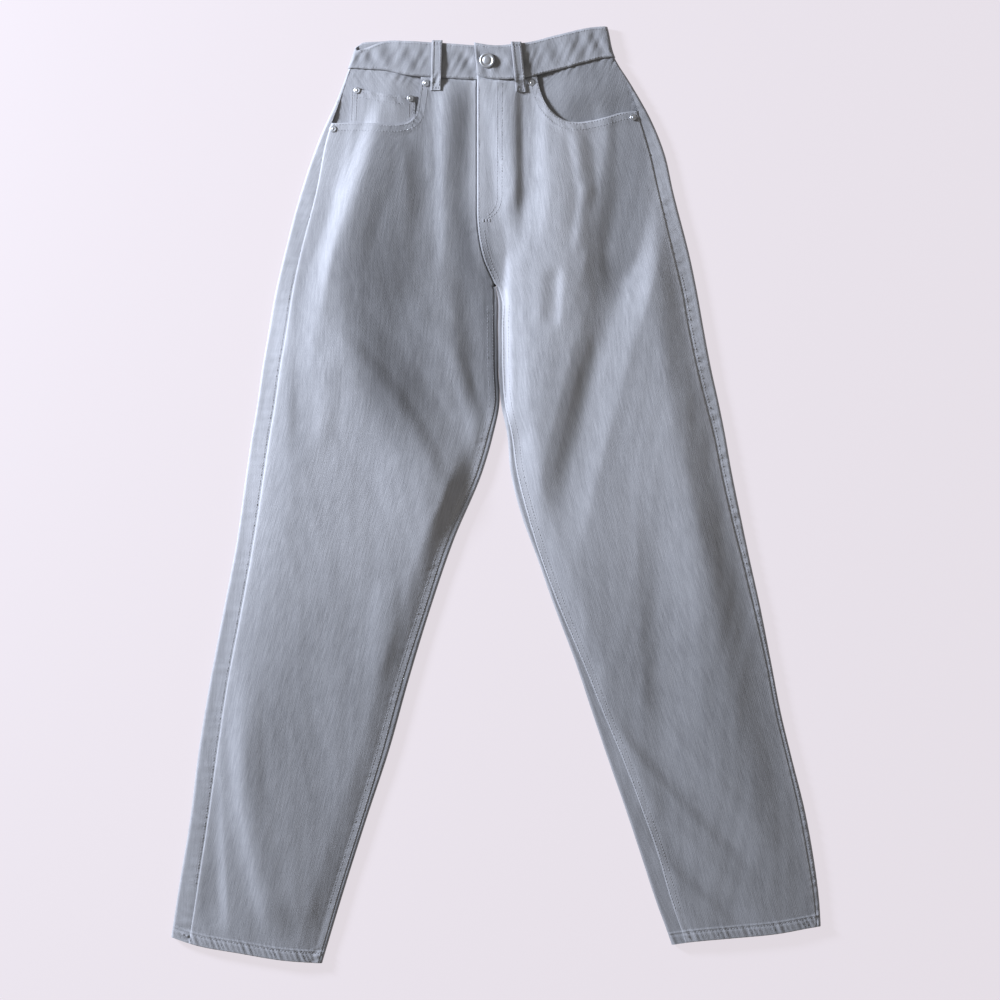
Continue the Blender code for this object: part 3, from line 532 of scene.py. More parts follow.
def read_curve(knots: Array, values: Array, at: Array) -> Array:
    """Read a smooth curve through knots; it runs on straight past its ends.

    Args:
        knots: Places of the knots, rising.
        values: Values at the knots.
        at: Places to read.

    Returns:
        The curve's values at those places.
    """
    at = np.asarray(at, dtype=float)
    slopes = np.gradient(values, knots)
    spot = np.clip(np.searchsorted(knots, at) - 1, 0, len(knots) - 2)
    span = knots[spot + 1] - knots[spot]
    t = (at - knots[spot]) / span
    inside = np.clip(t, 0.0, 1.0)
    square = inside * inside
    cube = square * inside
    start = values[spot] * (2 * cube - 3 * square + 1) + slopes[spot] * span * (cube - 2 * square + inside)
    end = values[spot + 1] * (3 * square - 2 * cube) + slopes[spot + 1] * span * (cube - square)
    past = np.where(t < 0, t * slopes[spot], np.where(t > 1, (t - 1) * slopes[spot + 1], 0.0)) * span
    return start + end + past


def table_value(table: Sequence[NamedTuple], key: str, column: str, at: Array) -> Array:
    """Read a named column of a table against another of its columns.

    Args:
        table: Rows with named columns.
        key: Column to look up.
        column: Column to read.
        at: Places along the key.

    Returns:
        The smooth values there.
    """
    rows = sorted(table, key=lambda row: getattr(row, key))
    knots = np.array([getattr(row, key) for row in rows], dtype=float)
    values = np.array([getattr(row, column) for row in rows], dtype=float)
    return read_curve(knots, values, at)


def path_points(spots: Sequence[Spot], share: Array) -> tuple[Array, Array]:
    """Points on a smooth path through spots.

    Args:
        spots: Corners of the path.
        share: Shares of its length, from 0 to 1.

    Returns:
        X and Y of the points.
    """
    xs = np.array([spot[0] for spot in spots], dtype=float)
    ys = np.array([spot[1] for spot in spots], dtype=float)
    lengths = np.concatenate(([0.0], np.cumsum(np.hypot(np.diff(xs), np.diff(ys)))))
    at = np.asarray(share, dtype=float) * lengths[-1]
    return read_curve(lengths, xs, at), read_curve(lengths, ys, at)


def uneven_wave(along: Array, pitch: float, seed: float) -> Array:
    """A wave whose length and strength wander, for puckers and wrinkles.

    Args:
        along: Distance along the seam.
        pitch: Mean length of one wave.
        seed: Shifts the pattern, so that seams differ.

    Returns:
        Heights from about -1 to 1.
    """
    turn = 2.0 * math.pi * np.asarray(along, dtype=float) / pitch
    wander = 1.1 * np.sin(0.31 * turn + seed) + 0.8 * np.sin(0.117 * turn + 2.0 * seed)
    strength = 0.65 + 0.35 * np.sin(0.19 * turn + 3.0 * seed)
    return strength * np.sin(turn + wander)


@dataclass(frozen=True)
class Leg:
    """One half of the jeans, with its tables.

    Attributes:
        side: Which half it is.
        sections: Silhouette and seams at each level.
        hem_line: Lower edge of the hem.
        mouth: Edge of the pocket mouth, from the outseam to the waist seam.
        band: Waistband in front of this half.
        yoke_side_y: Where the yoke seam meets the side.
    """

    side: Side
    sections: tuple[Section, ...]
    hem_line: tuple[Spot, ...]
    mouth: tuple[Spot, ...]
    band: tuple[BandPoint, ...]
    yoke_side_y: float

    @property
    def way(self) -> int:
        """The way along X from the centre to the outseam."""
        return self.side.value

    def outer(self, y: Array) -> Array:
        """X of the outer silhouette.

        Args:
            y: Heights to read.

        Returns:
            X at each height.
        """
        return table_value(self.sections, "y", "outer", y)

    def outseam(self, y: Array) -> Array:
        """How far the outseam lies in from the outer silhouette.

        Args:
            y: Heights to read.

        Returns:
            Distance at each height.
        """
        return table_value(self.sections, "y", "outseam", y)

    def inner(self, y: Array) -> Array:
        """X of the inner silhouette, or of the centre front above the crotch.

        Args:
            y: Heights to read.

        Returns:
            X at each height.
        """
        y = np.asarray(y, dtype=float)
        edge = table_value(self.sections, "y", "inner", y)
        touching = smoothstep(PATTERN.crotch_y + 30.0, PATTERN.crotch_y, y)
        centre = np.where(y > PATTERN.straight_top - 30.0, PATTERN.centre_front_x, edge)
        return centre + self.way * touching * 0.5 * (CLOTH.gap + 0.1)

    def inseam(self, y: Array) -> Array:
        """How far the inseam lies in from the inner silhouette.

        Args:
            y: Heights to read.

        Returns:
            Distance at each height.
        """
        y = np.asarray(y, dtype=float)
        opened = smoothstep(PATTERN.crotch_y, PATTERN.crotch_y - PATTERN.crotch_ease, y)
        first = PATTERN.crotch_seam_in
        below = first + (table_value(self.sections, "y", "inseam", y) - first) * opened
        return np.where(y > PATTERN.crotch_y, 0.5 * CLOTH.gap, below)

    def from_outseam(self, x: Array, y: Array) -> Array:
        """How far points lie in from the outseam.

        Args:
            x: X of the points.
            y: Y of the points.

        Returns:
            Distance at each point.
        """
        return self.way * (self.outer(y) - x) - self.outseam(y)

    def from_inseam(self, x: Array, y: Array) -> Array:
        """How far points lie out from the inseam.

        Args:
            x: X of the points.
            y: Y of the points.

        Returns:
            Distance at each point.
        """
        return self.way * (x - self.inner(y)) - self.inseam(y)

    def hem(self, x: Array) -> Array:
        """Y of the hem's lower edge.

        Args:
            x: Places across the leg.

        Returns:
            Y at each place.
        """
        return table_value(self.hem_line, "x", "y", x)

    def waist_seam(self, x: Array) -> Array:
        """Y of the seam under the waistband, in front.

        Args:
            x: Places across the waist.

        Returns:
            Y at each place.
        """
        return table_value(self.band, "x", "seam", x)

    def yoke_seam(self, x: Array) -> Array:
        """Y of the seam between yoke and back panel.

        Args:
            x: Places across the back.

        Returns:
            Y at each place.
        """
        side_x = float(self.outer(self.yoke_side_y))
        share = (x - side_x) / (PATTERN.centre_back_x - side_x)
        return self.yoke_side_y + (PATTERN.yoke_centre_y - self.yoke_side_y) * share


RIGHT = Leg(Side.RIGHT, RIGHT_SECTIONS, HEM_RIGHT, MOUTH_RIGHT, BAND_RIGHT, PATTERN.yoke_side_right)
LEFT = Leg(Side.LEFT, LEFT_SECTIONS, HEM_LEFT, MOUTH_LEFT, BAND_LEFT, PATTERN.yoke_side_left)


class Lie:
    """How the cloth lies: its height anywhere, with folds, puckers and layers."""

    def fold(self, fold: Fold, x: Array, y: Array) -> Array:
        """Height that one fold adds.

        Args:
            fold: The fold's row.
            x: X of the points.
            y: Y of the points.

        Returns:
            Height at each point.
        """
        run_x = fold.x1 - fold.x0
        run_y = fold.y1 - fold.y0
        length = math.hypot(run_x, run_y)
        dir_x = run_x / length
        dir_y = run_y / length
        share = ((x - fold.x0) * dir_x + (y - fold.y0) * dir_y) / length
        across = (x - fold.x0) * -dir_y + (y - fold.y0) * dir_x
        across = across - fold.bow * 4.0 * share * (1.0 - share)
        t = np.abs(across) / np.where(across < 0, fold.left, fold.right)
        crest = CLOTH.crest_round
        tent = 1.0 - (np.sqrt(t * t + crest**2) - crest) / (math.sqrt(1 + crest**2) - crest)
        tent = np.clip(tent, 0.0, 1.0)
        tent = 0.5 * tent + 0.5 * tent * tent * (3.0 - 2.0 * tent)
        ends = smoothstep(0.0, CLOTH.fold_ends, share) * smoothstep(1.0, 1.0 - CLOTH.fold_ends, share)
        return fold.high * tent * ends

    def relief(self, x: Array, y: Array) -> Array:
        """All folds together, eased near the waist and hems.

        Args:
            x: X of the points.
            y: Y of the points.

        Returns:
            Height at each point.
        """
        large = sum(self.fold(row, x, y) for row in FOLDS)
        fine = sum(self.fold(row, x, y) for row in FINE_FOLDS)
        calm_waist = 1.0 - CALM.waist_share * smoothstep(CALM.waist_from, CALM.waist_to, y)
        calm_hem = 1.0 - CALM.hem_share * smoothstep(CALM.hem_from, CALM.hem_to, y)
        calm_fine = 1.0 - CALM.fine_share * smoothstep(CALM.fine_from, CALM.fine_to, y)
        return (large * calm_waist + fine * calm_fine) * calm_hem

    def fade(self, x: Array, y: Array) -> Array:
        """Painted shade and painted light: how much darker or paler the cloth's colour is made where shade
        and light fall.

        Args:
            x: X of the points.
            y: Y of the points.

        Returns:
            Below 0 where it is darker and above 0 where it is paler.
        """
        return sum(self.fold(row, x, y) for row in PAINTED_SHADE_AND_LIGHT)

    def ripple(self, x: Array, y: Array) -> Array:
        """Faint unevenness of the cloth after washing.

        Args:
            x: X of the points.
            y: Y of the points.

        Returns:
            Height at each point.
        """
        slow = np.sin(x / 10.0 + 1.3 * np.sin(y / 63.0)) * np.sin(y / 47.0 + 1.9 * np.sin(x / 31.0))
        quick = np.sin(x / 4.3 + 1.9 * np.sin(y / 39.0 + 1.0)) * np.sin(y / 23.0 + 2.3 * np.sin(x / 17.0))
        return 0.24 * slow + 0.13 * quick

    def plain_top(self, leg: Leg, x: Array, y: Array) -> Array:
        """Height of the cloth on top before its folded edges are rounded off.

        Args:
            leg: Half of the jeans.
            x: X of the points.
            y: Y of the points.

        Returns:
            Height at each point.
        """
        radius = CLOTH.edge_radius
        out = leg.way * (leg.outer(y) - x)
        inn = leg.way * (x - leg.inner(y))
        rise_out = smoothstep(radius, CLOTH.side_rise, out)
        apart = smoothstep(PATTERN.fork_y + 4.0, PATTERN.fork_y - 40.0, y)
        rise_in = 1.0 - apart * (1.0 - smoothstep(radius, CLOTH.inner_rise, inn))
        body = table_value(FULLNESS, "y", "full", y) + self.relief(x, y)
        fly_room = CLOTH.fly_room * smoothstep(FLY.bottom - 70.0, FLY.bottom - 10.0, y)
        least = CLOTH.least_body + fly_room
        body = least + CLOTH.body_ease * np.logaddexp(0.0, (body - least) / CLOTH.body_ease)
        hem = CLOTH.hem_extra * self.in_hem(leg, x, y)
        return 2.0 * radius + body * rise_out * rise_in + hem + self.puckers(leg, x, y) + self.ripple(x, y)

    def in_hem(self, leg: Leg, x: Array, y: Array) -> Array:
        """Share of the hem's extra thickness.

        Args:
            leg: Half of the jeans.
            x: X of the points.
            y: Y of the points.

        Returns:
            0 above the hem and 1 in it.
        """
        return smoothstep(CLOTH.hem_deep + CLOTH.hem_step, CLOTH.hem_deep, y - leg.hem(x))

    def puckers(self, leg: Leg, x: Array, y: Array) -> Array:
        """Dents along the outseam, inseam, hem and waist seam.

        Args:
            leg: Half of the jeans.
            x: X of the points.
            y: Y of the points.

        Returns:
            Height at each point.
        """
        from_outseam = leg.from_outseam(x, y)
        from_inseam = leg.from_inseam(x, y)
        from_hem = y - leg.hem(x)
        spans = {
            "outseam": (from_outseam, y),
            "inseam": (from_inseam, y),
            "hem": (from_hem, x),
            "waist": (leg.waist_seam(x) - y, x),
        }
        total = np.zeros(np.broadcast(x, y).shape)
        for seam, row in SEAM_PUCKERS.items():
            distance = spans[seam][0] - row.off
            near = np.exp(-((distance / PUCKER.reach) ** 2))
            slant = spans[seam][1] + 0.5 * distance
            total = total + PUCKER.high * row.strength * near * uneven_wave(slant, row.pitch, row.seed)
        dips = np.exp(-((from_outseam / PUCKER.seam_reach) ** 2))
        dips = dips + np.where(y < PATTERN.crotch_y, np.exp(-((from_inseam / PUCKER.seam_reach) ** 2)), 0.0)
        hem_line = (from_hem - PUCKER.hem_stitch_in) / PUCKER.hem_stitch_reach
        inseam_line = (from_inseam - PUCKER.inseam_stitch_in) / PUCKER.inseam_stitch_reach
        stitched = np.exp(-(hem_line**2))
        stitched = stitched + PUCKER.inseam_stitch_share * np.exp(-(inseam_line**2)) * (y < PATTERN.crotch_y)
        return total - PUCKER.seam_dip * dips - PUCKER.stitch_dip * stitched

    def top(self, leg: Leg, x: Array, y: Array) -> Array:
        """Height of the cloth's outer face on top.

        Args:
            leg: Half of the jeans.
            x: X of the points.
            y: Y of the points.

        Returns:
            Height at each point.
        """
        top = self.plain_top(leg, x, y)
        out = leg.way * (leg.outer(y) - x)
        inn = leg.way * (x - leg.inner(y))
        split = smoothstep(PATTERN.crotch_y, PATTERN.crotch_y - PATTERN.crotch_ease, y)
        return top - self.round_off(out, 0.5 * top) - split * self.round_off(inn, 0.5 * top)

    def round_off(self, distance: Array, half_height: Array) -> Array:
        """Drop of a folded edge.

        Args:
            distance: Distances in from the silhouette.
            half_height: Half of the edge's height.

        Returns:
            The drop at each distance.
        """
        near = np.clip(1.0 - np.asarray(distance, dtype=float) / CLOTH.edge_radius, 0.0, 1.0)
        return half_height * (1.0 - np.sqrt(1.0 - near * near))

    def fly_rise(self, x: Array, y: Array) -> Array:
        """Extra height of the left front where it covers the fly, with its stitched dents.

        Args:
            x: X of the points.
            y: Y of the points.

        Returns:
            Height at each point.
        """
        edge = PATTERN.centre_front_x
        across = smoothstep(edge + 2.0 * FLY.wide, edge + FLY.wide, x)
        corner = smoothstep(16.0, 2.0, x) * smoothstep(446.0, 462.0, y)
        covered = smoothstep(FLY.bottom - 50.0, FLY.bottom, y)
        line = x - (edge + FLY.stitch_in)
        near = np.exp(-((line / FLY.dent_reach) ** 2))
        dents = FLY.dent * near * uneven_wave(y + 0.6 * line, FLY.dent_pitch, 0.9)
        by_edge = np.exp(-(((x - edge) / FLY.edge_reach) ** 2))
        edge_dents = FLY.edge_dent * by_edge * uneven_wave(y, FLY.edge_pitch, 1.9)
        return (FLY.rise * across + FLY.corner_rise * corner + dents + edge_dents) * covered

    def flap_rise(self, x: Array) -> Array:
        """Extra height of the waistband where its left end laps over the right end.

        Args:
            x: X of the points.

        Returns:
            Height at each point.
        """
        return BAND.flap_rise * smoothstep(BAND.flap_to, BAND.flap_from, x)

    def panel(self, leg: Leg, x: Array, y: Array) -> Array:
        """Outer face of a front panel.

        Args:
            leg: Half of the jeans.
            x: X of the points.
            y: Y of the points.

        Returns:
            Height at each point.
        """
        lap = self.fly_rise(x, y) if leg is LEFT else 0.0
        return self.top(leg, x, y) + lap + self.mouth_roll(leg, x, y)

    def mouth_roll(self, leg: Leg, x: Array, y: Array) -> Array:
        """Thicker turned edge of the pocket mouth, with its stitched dents.

        Args:
            leg: Half of the jeans.
            x: X of the points.
            y: Y of the points.

        Returns:
            Height at each point.
        """
        near = (np.asarray(y) > 380.0) & (leg.way * np.asarray(x) > 20.0)
        if not near.any():
            return np.zeros(np.broadcast(x, y).shape)
        inside = np.where(near, -self.mouth_distance(leg, x, y), 1e3)
        turned = MOUTH.turned * smoothstep(MOUTH.turned_from, MOUTH.turned_to, inside)
        by_stitches = np.exp(-(((inside - MOUTH.dent_in) / MOUTH.dent_reach) ** 2))
        dents = MOUTH.dent * by_stitches * uneven_wave(x + y, MOUTH.dent_pitch, 2.7)
        return turned + dents

    def wall(self, leg: Leg, x: Array, y: Array) -> Array:
        """Thickness of a panel, more in the hem.

        Args:
            leg: Half of the jeans.
            x: X of the points.
            y: Y of the points.

        Returns:
            Thickness at each point.
        """
        return CLOTH.wall + CLOTH.hem_extra * self.in_hem(leg, x, y)

    def mouth_distance(self, leg: Leg, x: Array, y: Array) -> Array:
        """Distance out from the pocket mouth; it is negative where the front panel covers.

        Args:
            leg: Half of the jeans.
            x: X of the points.
            y: Y of the points.

        Returns:
            Signed distance at each point.
        """
        path_x, path_y = path_points(leg.mouth, np.linspace(0.0, 1.0, 40))
        best = np.full(np.broadcast(x, y).shape, 1e9)
        sign = np.ones(best.shape)
        for ax, ay, bx, by in zip(path_x[:-1], path_y[:-1], path_x[1:], path_y[1:]):
            length = math.hypot(bx - ax, by - ay)
            ux = (bx - ax) / length
            uy = (by - ay) / length
            along = np.clip((x - ax) * ux + (y - ay) * uy, 0.0, length)
            gap = np.hypot(x - ax - along * ux, y - ay - along * uy)
            cross = (ux * (y - ay) - uy * (x - ax)) * -leg.way
            nearer = gap < best
            best = np.where(nearer, gap, best)
            sign = np.where(nearer, np.sign(cross), sign)
        return best * sign

    def facing(self, leg: Leg, x: Array, y: Array) -> Array:
        """Outer face of the facing behind a pocket mouth.

        Args:
            leg: Half of the jeans.
            x: X of the points.
            y: Y of the points.

        Returns:
            Height at each point.
        """
        out = self.mouth_distance(leg, x, y)
        sink = MOUTH.shallow + (MOUTH.depth - MOUTH.shallow) * smoothstep(MOUTH.ramp, 0.0, out)
        return self.top(leg, x, y) - sink

    def band(self, leg: Leg, x: Array, y: Array) -> Array:
        """Outer face of the waistband in front, with its creases.

        Args:
            leg: Half of the jeans.
            x: X of the points.
            y: Y of the points.

        Returns:
            Height at each point.
        """
        lap = self.flap_rise(x) if leg is LEFT else 0.0
        seam = leg.waist_seam(x)
        up = np.clip((y - seam) / BAND.deep, 0.0, 1.0)
        middle = 4.0 * up * (1.0 - up)
        crease = BAND.crease * uneven_wave(x + 16.0 * up, BAND.crease_pitch, 0.7)
        crease = crease + BAND.cross_crease * uneven_wave(x - 19.0 * up, BAND.cross_pitch, 1.9)
        edges = BAND.edge_wave * (1.0 - middle) * uneven_wave(x, BAND.edge_pitch, 2.2)
        return self.plain_top(leg, x, y) + BAND.rise + lap + crease * middle + edges

    def underside(self, x: Array, y: Array) -> Array:
        """Height of the underside where a pocket or loop lies flush below it.

        Args:
            x: X of the points.
            y: Y of the points.

        Returns:
            Height at each point.
        """
        x = np.asarray(x, dtype=float)
        y = np.asarray(y, dtype=float)
        lift = np.zeros(np.broadcast(x, y).shape)
        ease = CLOTH.flush_ease
        for name, centre in POCKET_CENTRES.items():
            turn = math.radians(POCKET_TILT[name])
            across = (x - centre.x) * math.cos(turn) + (y - centre.y) * math.sin(turn)
            up = (y - centre.y) * math.cos(turn) - (x - centre.x) * math.sin(turn)
            over_side = np.abs(across) - 0.5 * POCKET_TOP_WIDE
            over_end = np.abs(up + 0.5 * POCKET_POINT) - 0.5 * (POCKET_HIGH + POCKET_POINT)
            outside = np.maximum(over_side, over_end)
            lift = np.maximum(lift, smoothstep(2.0 * ease, ease, outside))
        for loop_x in BACK_LOOPS.values():
            over_side = np.abs(x - loop_x) - 0.5 * LOOP_WIDE
            foot = float(table_value(BAND_BACK, "x", "seam", loop_x)) - LOOP_BELOW
            outside = np.maximum(over_side, foot - y)
            lift = np.maximum(lift, smoothstep(2.0 * ease, ease, outside))
        return (CLOTH.flush + CLOTH.gap) * lift

    def front(self, leg: Leg, x: Array, y: Array) -> Array:
        """Outer face in front, of the waistband above its seam and of the panel below it.

        Args:
            leg: Half of the jeans.
            x: X of the points.
            y: Y of the points.

        Returns:
            Height at each point.
        """
        seam = leg.waist_seam(x)
        on_band = smoothstep(seam - 7.0, seam - 1.0, y)
        rise = self.flap_rise(x) if leg is LEFT else 0.0 * np.asarray(x)
        lap = self.fly_rise(x, y) if leg is LEFT else 0.0 * np.asarray(x)
        return self.top(leg, x, y) + np.maximum(on_band * (BAND.rise + rise), lap)


@dataclass(frozen=True)
class Denim:
    """Washed twill with slubs, worn pale along its seams.

    Attributes:
        name: Name of the material.
        pale: Colour of worn yarn, linear.
        deep: Colour of unworn yarn, linear.
        slub: Strength of the long streaks.
        grain: Strength of the fine weave.
    """

    name: str = "washed_denim"
    pale: tuple[float, float, float] = (0.490, 0.492, 0.515)
    deep: tuple[float, float, float] = (0.335, 0.337, 0.355)
    slub: float = 0.9
    grain: float = 0.35

    def build(self) -> bpy.types.Material:
        """Make the material.

        Returns:
            The material, reading the cloth's own UV map, its wear and its painted shade and light.
        """
        material = bpy.data.materials.new(self.name)
        material.use_nodes = True
        nodes = material.node_tree.nodes
        links = material.node_tree.links
        shader = nodes["Principled BSDF"]
        uv = nodes.new("ShaderNodeUVMap")
        uv.uv_map = "cloth"

        def noise(scale: tuple[float, float, float], detail: float, rough: float) -> bpy.types.Node:
            """Noise stretched along the grain.

            Args:
                scale: Repeats for each metre across, along and up.
                detail: Octaves.
                rough: Strength of the finer octaves.

            Returns:
                The noise node.
            """
            stretch = nodes.new("ShaderNodeMapping")
            stretch.inputs["Scale"].default_value = scale
            links.new(uv.outputs["UV"], stretch.inputs["Vector"])
            made = nodes.new("ShaderNodeTexNoise")
            made.inputs["Scale"].default_value = 1.0
            made.inputs["Detail"].default_value = detail
            made.inputs["Roughness"].default_value = rough
            links.new(stretch.outputs["Vector"], made.inputs["Vector"])
            return made

        def blend(kind: str, factor: float, first: object, second: object) -> bpy.types.Node:
            """Mix two colours or node outputs.

            Args:
                kind: Blend type.
                factor: Share of the second.
                first: Colour or socket.
                second: Colour or socket.

            Returns:
                The mix node.
            """
            mix = nodes.new("ShaderNodeMix")
            mix.data_type = "RGBA"
            mix.blend_type = kind
            mix.inputs["Factor"].default_value = factor
            for socket, value in ((mix.inputs["A"], first), (mix.inputs["B"], second)):
                if isinstance(value, tuple):
                    socket.default_value = (*value, 1.0)
                else:
                    links.new(value, socket)
            return mix

        def ramp(source: bpy.types.NodeSocket, low: float, high: float) -> bpy.types.Node:
            """Stretch a value's range to 0 and 1.

            Args:
                source: Value to stretch.
                low: Value that gives 0.
                high: Value that gives 1.

            Returns:
                The range node.
            """
            made = nodes.new("ShaderNodeMapRange")
            made.inputs["From Min"].default_value = low
            made.inputs["From Max"].default_value = high
            links.new(source, made.inputs["Value"])
            return made

        slubs = noise((480.0, 42.0, 1.0), 4.0, 0.65)
        weave = noise((1500.0, 620.0, 1.0), 2.0, 0.7)
        cloud = noise((16.0, 9.0, 1.0), 3.0, 0.5)
        twill = nodes.new("ShaderNodeTexWave")
        twill.bands_direction = "DIAGONAL"
        twill.inputs["Scale"].default_value = 1.0
        lines = nodes.new("ShaderNodeMapping")
        lines.inputs["Scale"].default_value = (230.0, 150.0, 1.0)
        links.new(uv.outputs["UV"], lines.inputs["Vector"])
        links.new(lines.outputs["Vector"], twill.inputs["Vector"])

        streaks = ramp(slubs.outputs["Fac"], 0.32, 0.68)
        base = blend("MIX", 0.5, self.deep, self.pale)
        links.new(streaks.outputs["Result"], base.inputs["Factor"])
        fine = ramp(weave.outputs["Fac"], 0.25, 0.75)
        specks = blend("MULTIPLY", self.grain, base.outputs["Result"], (1.0, 1.0, 1.0))
        links.new(fine.outputs["Result"], specks.inputs["B"])
        mottle = ramp(cloud.outputs["Fac"], 0.3, 0.7)
        mottle_and_painted_shade = blend("MIX", 0.5, specks.outputs["Result"], self.pale)
        amount = nodes.new("ShaderNodeMath")
        amount.operation = "MULTIPLY"
        amount.inputs[1].default_value = 0.30
        links.new(mottle.outputs["Result"], amount.inputs[0])
        links.new(amount.outputs["Value"], mottle_and_painted_shade.inputs["Factor"])
        wear = nodes.new("ShaderNodeAttribute")
        wear.attribute_name = "wear"
        faded = blend("MIX", 0.5, mottle_and_painted_shade.outputs["Result"], tuple(1.12 * value for value in self.pale))
        links.new(wear.outputs["Fac"], faded.inputs["Factor"])
        # Painted shade and painted light: the colour is scaled point by point by the cloth's painted shade
        # and light; on the waistband the same scale carries an uneven darker tone.
        painted_shade_reader = nodes.new("ShaderNodeAttribute")
        painted_shade_reader.attribute_name = "fade"
        tone = nodes.new("ShaderNodeVectorMath")
        tone.operation = "SCALE"
        links.new(faded.outputs["Result"], tone.inputs["Vector"])
        links.new(painted_shade_reader.outputs["Fac"], tone.inputs["Scale"])
        links.new(tone.outputs["Vector"], shader.inputs["Base Color"])

        height = nodes.new("ShaderNodeMath")
        height.operation = "MULTIPLY_ADD"
        height.inputs[1].default_value = self.slub
        links.new(slubs.outputs["Fac"], height.inputs[0])
        links.new(weave.outputs["Fac"], height.inputs[2])
        ribs = nodes.new("ShaderNodeMath")
        ribs.operation = "MULTIPLY_ADD"
        ribs.inputs[1].default_value = 0.12
        links.new(twill.outputs["Fac"], ribs.inputs[0])
        links.new(height.outputs["Value"], ribs.inputs[2])
        bump = nodes.new("ShaderNodeBump")
        bump.inputs["Strength"].default_value = 0.55
        bump.inputs["Distance"].default_value = 0.0005
        links.new(ribs.outputs["Value"], bump.inputs["Height"])
        links.new(bump.outputs["Normal"], shader.inputs["Normal"])
        shader.inputs["Roughness"].default_value = 0.95
        shader.inputs["Specular IOR Level"].default_value = 0.12
        shader.inputs["Sheen Weight"].default_value = 0.12
        shader.inputs["Sheen Roughness"].default_value = 0.6
        return material


@dataclass(frozen=True)
class PlainFinish:
    """Thread or metal, with faint unevenness.

    Attributes:
        name: Name of the material.
        colour: Base colour, linear.
        roughness: Roughness.
        metallic: 1 for metal.
        repeats: Repeats of the noise for each metre.
        bump: Strength of the bump.
    """

    name: str
    colour: tuple[float, float, float]
    roughness: float
    metallic: float
    repeats: float
    bump: float

    def build(self) -> bpy.types.Material:
        """Make the material.

        Returns:
            The material, reading Object coordinates.
        """
        material = bpy.data.materials.new(self.name)
        material.use_nodes = True
        nodes = material.node_tree.nodes
        links = material.node_tree.links
        shader = nodes["Principled BSDF"]
        place = nodes.new("ShaderNodeTexCoord")
        grain = nodes.new("ShaderNodeTexNoise")
        grain.inputs["Scale"].default_value = self.repeats
        links.new(place.outputs["Object"], grain.inputs["Vector"])
        tint = nodes.new("ShaderNodeMix")
        tint.data_type = "RGBA"
        tint.inputs["A"].default_value = (*(0.82 * value for value in self.colour), 1.0)
        tint.inputs["B"].default_value = (*(min(1.0, 1.12 * value) for value in self.colour), 1.0)
        links.new(grain.outputs["Fac"], tint.inputs["Factor"])
        links.new(tint.outputs["Result"], shader.inputs["Base Color"])
        bump = nodes.new("ShaderNodeBump")
        bump.inputs["Strength"].default_value = self.bump
        bump.inputs["Distance"].default_value = 0.0002
        links.new(grain.outputs["Fac"], bump.inputs["Height"])
        links.new(bump.outputs["Normal"], shader.inputs["Normal"])
        shader.inputs["Roughness"].default_value = self.roughness
        shader.inputs["Metallic"].default_value = self.metallic
        return material


@dataclass
class Finishes:
    """Materials shared by the pieces."""

    denim: bpy.types.Material = field(default_factory=lambda: Denim().build())
    hidden: bpy.types.Material = field(
        default_factory=lambda: PlainFinish(
            "hidden_twill", (0.26, 0.28, 0.33), roughness=0.9, metallic=0.0, repeats=700.0, bump=0.5
        ).build()
    )
    thread: bpy.types.Material = field(
        default_factory=lambda: PlainFinish(
            "thread", (0.40, 0.40, 0.42), roughness=0.75, metallic=0.0, repeats=2600.0, bump=0.3
        ).build()
    )
    metal: bpy.types.Material = field(
        default_factory=lambda: PlainFinish(
            "brushed_nickel", (0.60, 0.61, 0.63), roughness=0.42, metallic=0.9, repeats=900.0, bump=0.15
        ).build()
    )


SHARP_ANGLE = math.radians(50.0)
HIDDEN_NODES = ("fly_shield", "zip_tape")


